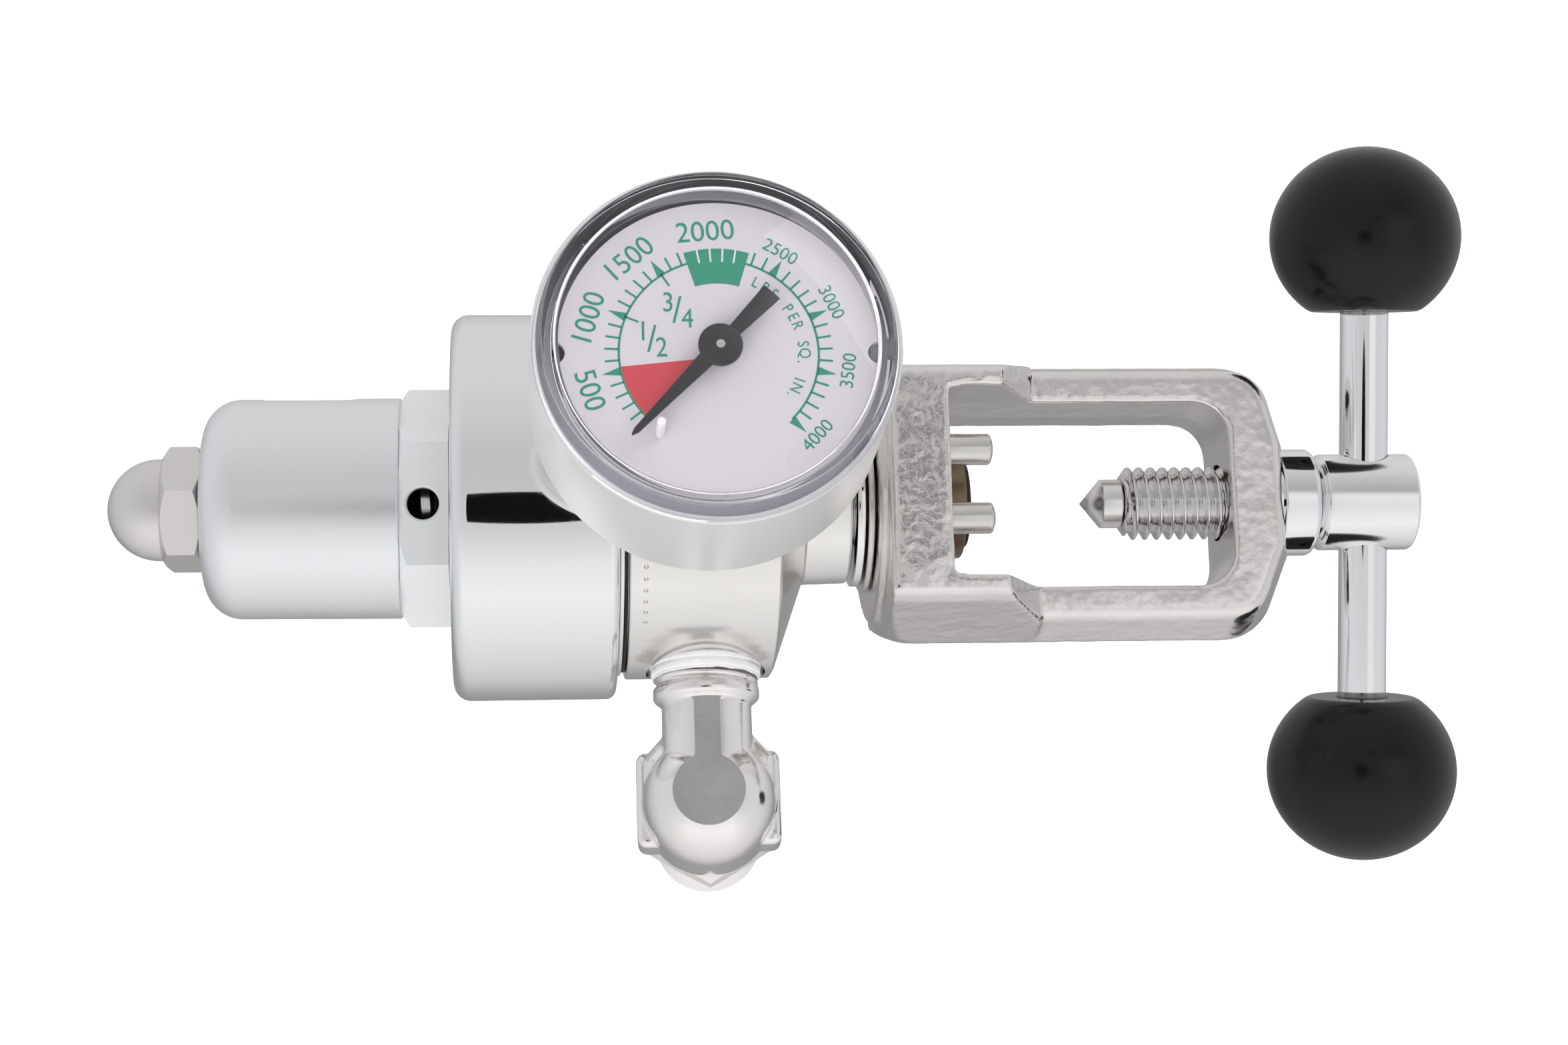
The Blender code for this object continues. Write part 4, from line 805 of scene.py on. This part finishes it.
def make_dial():
    dial = rod("dial_plate", DIAL_RADIUS, "Z", DIAL_TOP - 0.8, DIAL_TOP, steps=160, place=GAUGE_FRAME)
    cut(dial,
        rod("dial_hole", 1.0, "Z", 50.0, 60.0, place=GAUGE_FRAME),
        rod("notch_left", 1.3, "Z", 50.0, 60.0, (-17.9, 0.0), place=CASE_FRAME),
        rod("notch_right", 1.3, "Z", 50.0, 60.0, (18.3, 0.0), place=CASE_FRAME))
    use(dial, DIAL_WHITE, "gauge_dial", REGULATOR, "gauge_dial")

    low = DIAL_TOP + 0.01
    marks = [band(10.92, 11.18, value_angle(0), value_angle(SCALE_MAX), 90)]
    for step in range(1, 41):
        value = 100 * step
        angle = value_angle(value)
        if value % 500 == 0 and value != 2000:
            tip = polar(13.2, angle)
            base = polar(11.1, angle)
            across = Vector((-base.y, base.x)).normalized() * 0.5
            marks.append([base + across, tip, base - across])
        elif not 1750 < value < 2250:
            marks.append(stroke(polar(11.1, angle), polar(12.65, angle), 0.24))
    for value in (1000, 1500):
        marks.append(stroke(polar(9.5, value_angle(value)), polar(11.1, value_angle(value)), 0.24))
    printed("dial_scale", marks, low, low + 0.02, PRINT_GREEN)
    block = [band(8.2, 12.4, 90 + 17.2, 90 - 17.2, 14)]
    printed("dial_full_block", block, low, low + 0.025, PRINT_GREEN)
    angles = [value_angle(value) for value in (1850, 1950, 2050, 2150)]
    ticks = [stroke(polar(10.8, angle), polar(12.41, angle), 0.2) for angle in angles]
    printed("dial_block_ticks", ticks, low + 0.02, low + 0.05, PRINT_WHITE)
    wedge_end = -171.5
    edge = [polar(10.95, SCALE_START + (wedge_end - SCALE_START) * k / 12) for k in range(13)]
    wedge = [[polar(1.2, -150.0), *edge]]
    printed("dial_refill_wedge", wedge, low, low + 0.025, PRINT_RED)

    figures = []
    for value, size, radius, ahead, top in (
            (500, 2.5, 14.9, 5.8, 90.0), (1000, 2.5, 15.0, 5.8, -90.0), (1500, 2.5, 14.9, 6.7, -90.0),
            (2000, 2.55, 14.6, 4.6, -90.0), (2500, 1.6, 14.1, 2.9, -90.0), (3000, 1.6, 14.1, 2.7, -90.0),
            (3500, 1.6, 14.4, 2.8, 90.0), (4000, 1.6, 14.3, 2.3, 90.0)):
        angle = value_angle(value) + ahead
        place = polar(radius, angle)
        figures.append((str(value), size, place.x, place.y, angle + top, 0.96))
    for text, x, y in (("1", -8.3, 2.6), ("2", -6.3, 0.7), ("3", -5.5, 6.0), ("4", -3.4, 4.1)):
        figures.append((text, 2.4, x, y, 0.0, 0.85))
    for x, y in ((-7.35, 1.7), (-4.5, 5.1)):
        figures.append(("/", 3.3, x, y, 0.0, 0.9))
    unit = "LBS PER SQ. IN."
    for k, letter in enumerate(unit):
        if letter != " ":
            # the letters close up a little towards the end of the line
            angle = 62.5 - 7.35 * k + 0.04 * k * k
            place = polar(9.4 if letter != "." else 8.8, angle)
            figures.append((letter, 1.35, place.x, place.y, angle - 90.0, 0.85))
    use(lettering("dial_figures", figures, low + 0.012, 0.024), PRINT_GREEN, "gauge_dial", REGULATOR)


def make_pointer():
    zero = math.radians(POINTER_ZERO)
    ahead = Vector((math.cos(zero), math.sin(zero)))
    across = Vector((-ahead.y, ahead.x))
    blade = [(14.35, 0.08), (13.6, 0.36), (8.0, 0.62), (2.2, 0.95), (-2.2, 0.75), (-8.5, 1.15)]
    outline = [tuple(ahead * reach + across * half) for reach, half in blade]
    outline += [tuple(ahead * reach - across * half) for reach, half in reversed(blade)]
    pointer = prism("pointer_blade", outline, "Z", POINTER_Z, POINTER_Z + 0.35, GAUGE_FRAME, bevel=0.06)
    disc = [(POINTER_Z - 0.7, 0.0), (POINTER_Z - 0.7, 2.0, 0.1), (POINTER_Z - 0.1, 2.45, 0.1),
            (POINTER_Z + 0.42, 2.45, 0.15), (POINTER_Z + 0.42, 0.0)]
    join(pointer, lathe("pointer_disc", disc, "Z", 96, place=GAUGE_FRAME), sharp=30.0)
    cut(pointer, rod("pointer_hole", 0.52, "Z", 50.0, 65.0, place=GAUGE_FRAME), sharp=30.0)
    use(pointer, POINTER_BLACK, "gauge_pointer", "gauge_hand", "gauge_pointer")


def make_gauge():
    case = [(38.2, 4.9), (38.2, CASE_RADIUS, 2.2), (CASE_FRONT, CASE_RADIUS, 0.25), (CASE_FRONT, 19.5, 0.2)]
    case += [(DIAL_TOP - 1.1, 19.5), (DIAL_TOP - 1.1, 17.4), (DIAL_TOP - 2.7, 19.2), (39.4, 19.2)]
    case += [(39.4, 4.9)]
    shell = lathe("case_shell", case, "Z", 192, ring=True, place=CASE_FRAME, fillet_steps=8)
    use(shell, CASE_STEEL, "gauge_case", REGULATOR, "gauge_case")
    lens = [(LENS_TOP, 0.0), (LENS_TOP - 0.08, 8.0), (LENS_TOP - 0.35, 17.6, 2.0)]
    lens += [(LENS_TOP - 0.9, 19.25, 0.5), (CASE_FRONT + 1.0, 19.95, 0.15)]
    lens += [(CASE_FRONT + 0.85, CASE_RADIUS, 0.12), (CASE_FRONT + 0.2, CASE_RADIUS, 0.12)]
    lens += [(CASE_FRONT + 0.2, 19.25, 0.1), (DIAL_TOP + 0.4, 19.2, 0.15), (DIAL_TOP + 0.4, 18.1, 0.15)]
    lens += [(LENS_TOP - 1.65, 17.7, 0.5), (LENS_TOP - 1.38, 8.0), (LENS_TOP - 1.3, 0.0)]
    window = lathe("lens_window", lens, "Z", 192, place=CASE_FRAME, fillet_steps=5)
    window.visible_shadow = False
    use(window, LENS, "gauge_lens", REGULATOR, "gauge_lens")
    # A dark ring inside the case's rim, put there as painted shade for the shadow in the gap behind the lens
    # skirt.
    shade_ring_profile = [(DIAL_TOP - 1.08, 17.45), (DIAL_TOP - 0.85, 17.45), (DIAL_TOP - 0.85, 18.1)]
    shade_ring_profile += [(DIAL_TOP + 0.2, 19.27), (CASE_FRONT - 0.3, 19.27), (CASE_FRONT - 0.3, 19.48)]
    shade_ring_profile += [(DIAL_TOP - 1.08, 19.48)]
    wall = lathe("case_painted_shade_ring", shade_ring_profile, "Z", 160, ring=True, place=CASE_FRAME)
    use(wall, PAINTED_SHADE_LINING, "gauge_case", REGULATOR)
    pin = [(DIAL_TOP + 0.1, 0.0), (DIAL_TOP + 0.1, 0.52, 0.05), (60.0, 0.50, 0.3), (60.0, 0.0)]
    skin("stop_pin", pin, WHITE_PLASTIC, axis="Z", steps=32, place=GAUGE_FRAME @ move(-6.75, -9.5, 0.0))
    stem = [(14.4, 0.0), (14.4, 4.8, 0.4), (23.4, 4.8), (23.4, 6.0, 0.2), (37.9, 6.0, 0.2), (37.9, 4.6)]
    stem += [(46.0, 4.6), (46.0, 0.0)]
    stem = lathe("stem", stem, "Z", place=GAUGE_FRAME)
    nut = prism("stem_hex", hexagon(14.3, 0.0), "Z", 25.0, 35.5, GAUGE_FRAME)
    edge = [(25.0, 0.0), (25.0, 7.4), (25.9, 8.4), (34.6, 8.4), (35.5, 7.4), (35.5, 0.0)]
    trim(nut, lathe("stem_edge", edge, "Z", place=GAUGE_FRAME))
    join(stem, nut)
    use(stem, ELBOW_NICKEL, "gauge_stem", REGULATOR, "gauge_stem")
    make_dial()
    make_pointer()


# ---------------------------------------------------------------- outlet

def make_outlet():
    neck = [(-14.3, 0.0), (-14.3, 5.9), (-24.3, 5.9), (-24.3, 6.75, 0.15), (-25.8, 6.75, 0.3)]
    neck += [(-26.6, 5.7, 0.5), (-35.5, 5.7), (-35.5, 0.0)]
    elbow = lathe("elbow", neck, "Y", 96, place=OUTLET_FRAME)
    tube = arc((-1.6, 0.0), 8.4, 0, 90, 24) + [(-8.8, 8.4), (-8.8, 0.0)]
    ear = [(-9.15, -6.1), (9.15, -6.1), (9.15, 6.1), (-9.15, 6.1)]
    levels = [(-8.8, 0.3), (-8.5, 0.0), (-3.4, 0.0), (-2.8, 0.6)]
    ears = drafted("elbow_ears", ear, [1.2] * 4, levels, OUTLET_FRAME @ move(0.0, OUTLET_Y + 0.6, 0.0))
    slope = [(-8.3, -38.0), (8.3, -38.0), (8.3, -33.2), (5.5, -30.1), (-5.5, -30.1), (-8.3, -33.2)]
    levels = [(-7.8, 0.6), (-7.2, 0.0), (-0.4, 0.0), (0.8, 0.9), (1.8, 2.4)]
    shoulders = drafted("elbow_shoulders", slope, [1.0] * 6, levels, OUTLET_FRAME)
    join(elbow, lathe("elbow_tube", tube, "Z", 96, place=DROP_FRAME), ears, shoulders)
    soften(elbow, 0.2, 9)
    face = [(-12.0, -60.0), (12.0, -60.0), (12.0, -26.6), (-12.0, -26.6)]
    cut(elbow, prism("elbow_face", face, "Z", ELBOW_FACE, 13.6, OUTLET_FRAME),
        rod("elbow_thread", 5.9, "Z", -12.0, -1.6, (0.0, OUTLET_Y), place=OUTLET_FRAME), sharp=40.0)
    use(elbow, ELBOW_NICKEL, "outlet_elbow", REGULATOR, "outlet_elbow")
    plate = face_skin("elbow_face_skin", elbow, ELBOW_FACE, OUTLET_FRAME)
    use(plate, BRUSHED_FACE, "outlet_elbow", REGULATOR)
    shank = threaded("elbow_male_thread", "Y", -24.6, -14.6, 6.62, 6.15, PIPE_PITCH, OUTLET_FRAME, 96, 0.3)
    cut(shank, rod("shank_core", 5.8, "Y", -26.0, -13.0, place=OUTLET_FRAME), sharp=50.0)
    use(shank, ELBOW_NICKEL, "outlet_elbow", REGULATOR)

    tape = [(-20.8, 6.65), (-20.85, 7.1, 0.05), (-21.2, 7.2), (-21.65, 7.1, 0.05), (-21.72, 6.9)]
    tape += [(-22.2, 7.0), (-22.75, 6.93, 0.05), (-22.8, 6.78), (-23.15, 6.8), (-23.2, 6.65)]
    wrap = lathe("tape_wraps", tape, "Y", 220, ring=True, place=OUTLET_FRAME, sharp=50.0)
    divide(wrap, 2)
    roughen(wrap, 0.10, 0.55, seed=8.0)
    roughen(wrap, 0.03, 2.2, seed=3.0)
    use(wrap, PTFE, "sealing_tape", REGULATOR, "sealing_tape")

    body = [(-2.0, 2.2), (-2.0, 5.7, 0.2), (-9.1, 5.7), (-9.1, 7.1), (-13.7, 7.1), (-13.7, 6.5), (-15.2, 6.5)]
    body += [(-15.2, 6.45), (-29.4, 6.45, 0.3), (-29.5, 4.0, 0.3), (-20.5, 4.0), (-20.5, 2.2)]
    fitting = lathe("fitting", body, "Z", 96, ring=True, place=DROP_FRAME)
    nut = prism("fitting_hex", hexagon(15.88, 0.0), "Z", -13.5, -9.2, DROP_FRAME)
    edge = [(-13.5, 0.0), (-13.5, 7.9, 0.1), (-12.8, 9.2), (-9.9, 9.2), (-9.2, 7.9, 0.1), (-9.2, 0.0)]
    trim(nut, lathe("fitting_edge", edge, "Z", place=DROP_FRAME))
    thread = threaded("fitting_thread", "Z", -29.4, -14.8, 7.14, 6.4, PIPE_PITCH, DROP_FRAME)
    join(fitting, nut, sharp=30.0)
    cut(thread, rod("fitting_bore", 6.1, "Z", -30.0, -14.0, place=DROP_FRAME), sharp=50.0)
    use(thread, LIT_FITTING_NICKEL, "outlet_fitting", REGULATOR)
    use(fitting, LIT_FITTING_NICKEL, "outlet_fitting", REGULATOR, "outlet_fitting")


def finish_cad_nodes():
    """The hidden CAD pieces keep their shape and get procedural finishes."""
    finishes = {
        "adjusting_screw": STEEL, "spring_button": BRASS, "range_spring": STEEL, "diaphragm": RUBBER,
        "diaphragm_plate": SATIN_ALUMINIUM, "nozzle": BRASS, "poppet": STEEL, "poppet_spring": STEEL,
        "inlet_filter": BRONZE, "movement_plate": BRASS, "sector_gear": BRASS, "pointer_arbor": STEEL,
        "bourdon_tube": BRASS,
    }
    for name, material in finishes.items():
        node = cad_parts[name]
        node.data.materials.clear()
        node.data.materials.append(material)


# ---------------------------------------------------------------- stage

def make_floor():
    """A pale floor just below the part, which lights it softly and doesn't show in its metal."""
    half_size = 1.6
    gap = 0.4
    bm = bmesh.new()
    bmesh.ops.create_grid(bm, x_segments=8, y_segments=8, size=half_size)
    bmesh.ops.translate(bm, verts=bm.verts, vec=(0, 0, cad_low.z - gap * MM))
    floor = to_object("floor", bm)
    material, tree, shader, place = started("pale_floor")
    clouds = add(tree, "TexNoise", Vector=place, Scale=6.0, Detail=3.0)
    pale = mixed(tree, clouds.outputs[0], (0.60, 0.60, 0.60), (0.57, 0.57, 0.57))
    tree.links.new(pale, shader.inputs["Base Color"])
    shader.inputs["Roughness"].default_value = 0.9
    shader.inputs["Emission Color"].default_value = (1.0, 1.0, 1.0, 1.0)
    shader.inputs["Emission Strength"].default_value = 0.95
    floor.data.materials.append(material)
    floor.visible_glossy = False


# The tent's brightness by the direction round the X axis, in degrees from straight up towards the side
# away from the outlet. HANDLE_TENT is the part that leans towards the handle.
TENT = (
    (-180, 0.30), (-162, 0.40), (-140, 0.66), (-125, 0.76), (-100, 0.88), (-72, 1.0), (-50, 0.90),
    (-30, 0.70), (-9, 0.62), (11, 0.60), (32, 0.66), (60, 0.73), (90, 0.74), (120, 0.72), (140, 0.58),
    (162, 0.34), (180, 0.30),
)
HANDLE_TENT = (
    (-180, 0.30), (-162, 0.40), (-140, 0.66), (-125, 0.76), (-100, 0.88), (-72, 1.0), (-50, 0.94),
    (-32, 0.86), (-18, 0.86), (-6, 0.92), (0, 0.86), (9, 0.48), (16, 0.48), (40, 0.60), (60, 0.70),
    (90, 0.74), (120, 0.72), (140, 0.58), (162, 0.34), (180, 0.30),
)


def make_light():
    """A soft tent, brightest low on the outlet's side and over the handle, and two weak lamps."""
    world = bpy.data.worlds.new("studio")
    bpy.context.scene.world = world
    world.use_nodes = True
    tree = world.node_tree
    direction = add(tree, "TexCoord").outputs["Generated"]
    parts = add(tree, "SeparateXYZ", Vector=direction)
    angle = maths(tree, "ARCTAN2", parts.outputs[1], parts.outputs[2])
    share = maths(tree, "MULTIPLY_ADD", angle, 1.0 / math.tau, 0.5)
    tent = ramp(tree, share, *[(0.5 + turn / 360.0, level) for turn, level in TENT])
    panel = ramp(tree, share, *[(0.5 + turn / 360.0, level) for turn, level in HANDLE_TENT])
    handle_side = ramp(tree, parts.outputs[0], (0.13, 0.0), (0.20, 1.0), (0.55, 1.0), (0.75, 0.0))
    tent = mixed(tree, handle_side, tent, panel)
    sides = maths(tree, "ABSOLUTE", parts.outputs[0])
    ends = ramp(tree, sides, (0.0, 0.0), (0.55, 0.0), (1.0, 1.0))
    whole = mixed(tree, ends, tent, (0.71, 0.72, 0.745))
    tree.links.new(whole, tree.nodes["Background"].inputs["Color"])
    for name, place, power in (("key", (-0.30, -0.45, 0.60), 2.6), ("fill", (0.45, 0.35, 0.6), 2.0)):
        data = bpy.data.lights.new(name, "AREA")
        data.energy = power
        data.size = 0.6
        lamp = bpy.data.objects.new(name, data)
        lamp.location = place
        lamp.rotation_euler = (-Vector(place)).to_track_quat("-Z", "Y").to_euler()
        lamp.visible_glossy = False
        bpy.context.scene.collection.objects.link(lamp)


def make_flag(name, radius, place, turn=HOME):
    """A dark disc over the part, which the polished pieces show as a black line, spot or streaks."""
    bm = bmesh.new()
    bmesh.ops.create_circle(bm, cap_ends=True, segments=48, radius=radius * MM)
    flag = to_object(name, bm, Matrix.Translation(place) @ turn)
    material, tree, shader, spot = started(name + "_black")
    clouds = add(tree, "TexNoise", Vector=spot, Scale=60.0, Detail=3.0)
    black = mixed(tree, clouds.outputs[0], (0.003, 0.003, 0.003), (0.005, 0.005, 0.005))
    tree.links.new(black, shader.inputs["Base Color"])
    shader.inputs["Roughness"].default_value = 0.9
    shader.inputs["Specular IOR Level"].default_value = 0.0
    flag.data.materials.append(material)
    flag.visible_shadow = False


def make_camera():
    """The view: nearly straight down on the gauge, tipped towards the outlet."""
    tip, swing, roll = math.radians(17.41), math.radians(5.55), math.radians(0.42)
    c, s = math.cos(tip), math.sin(tip)
    about_x = Matrix(((1, 0, 0), (0, c, s), (0, -s, c)))
    c, s = math.cos(swing), math.sin(swing)
    about_y = Matrix(((c, 0, s), (0, 1, 0), (-s, 0, c)))
    c, s = math.cos(roll), math.sin(roll)
    about_z = Matrix(((c, -s, 0), (s, c, 0), (0, 0, 1)))
    turn = about_z @ about_y @ about_x
    distance = 362.27
    shift = Vector((20.15, 2.29, 0.0))
    back = turn.transposed()
    data = bpy.data.cameras.new("photo_view")
    data.sensor_width = 36.0
    data.lens = 63.58
    data.clip_start = 0.01
    data.clip_end = 20.0
    camera = bpy.data.objects.new("photo_view", data)
    place = back @ (Vector((0.0, 0.0, distance)) - shift) * MM
    camera.matrix_world = Matrix.Translation(place) @ back.to_4x4()
    bpy.context.scene.collection.objects.link(camera)
    bpy.context.scene.camera = camera
    make_flag("lens_flag", 58.0, place * 1.04, back.to_4x4())
    make_flag("side_flag", 19.0, Vector((45.0, 33.0, 350.0)) * MM)


make_acorn()
make_bonnet()
make_union()
make_body()
make_yoke()
make_seal()
make_clamp()
make_gauge()
make_outlet()
finish_cad_nodes()
make_floor()
make_light()
make_camera()
bpy.context.scene.view_settings.view_transform = "Standard"
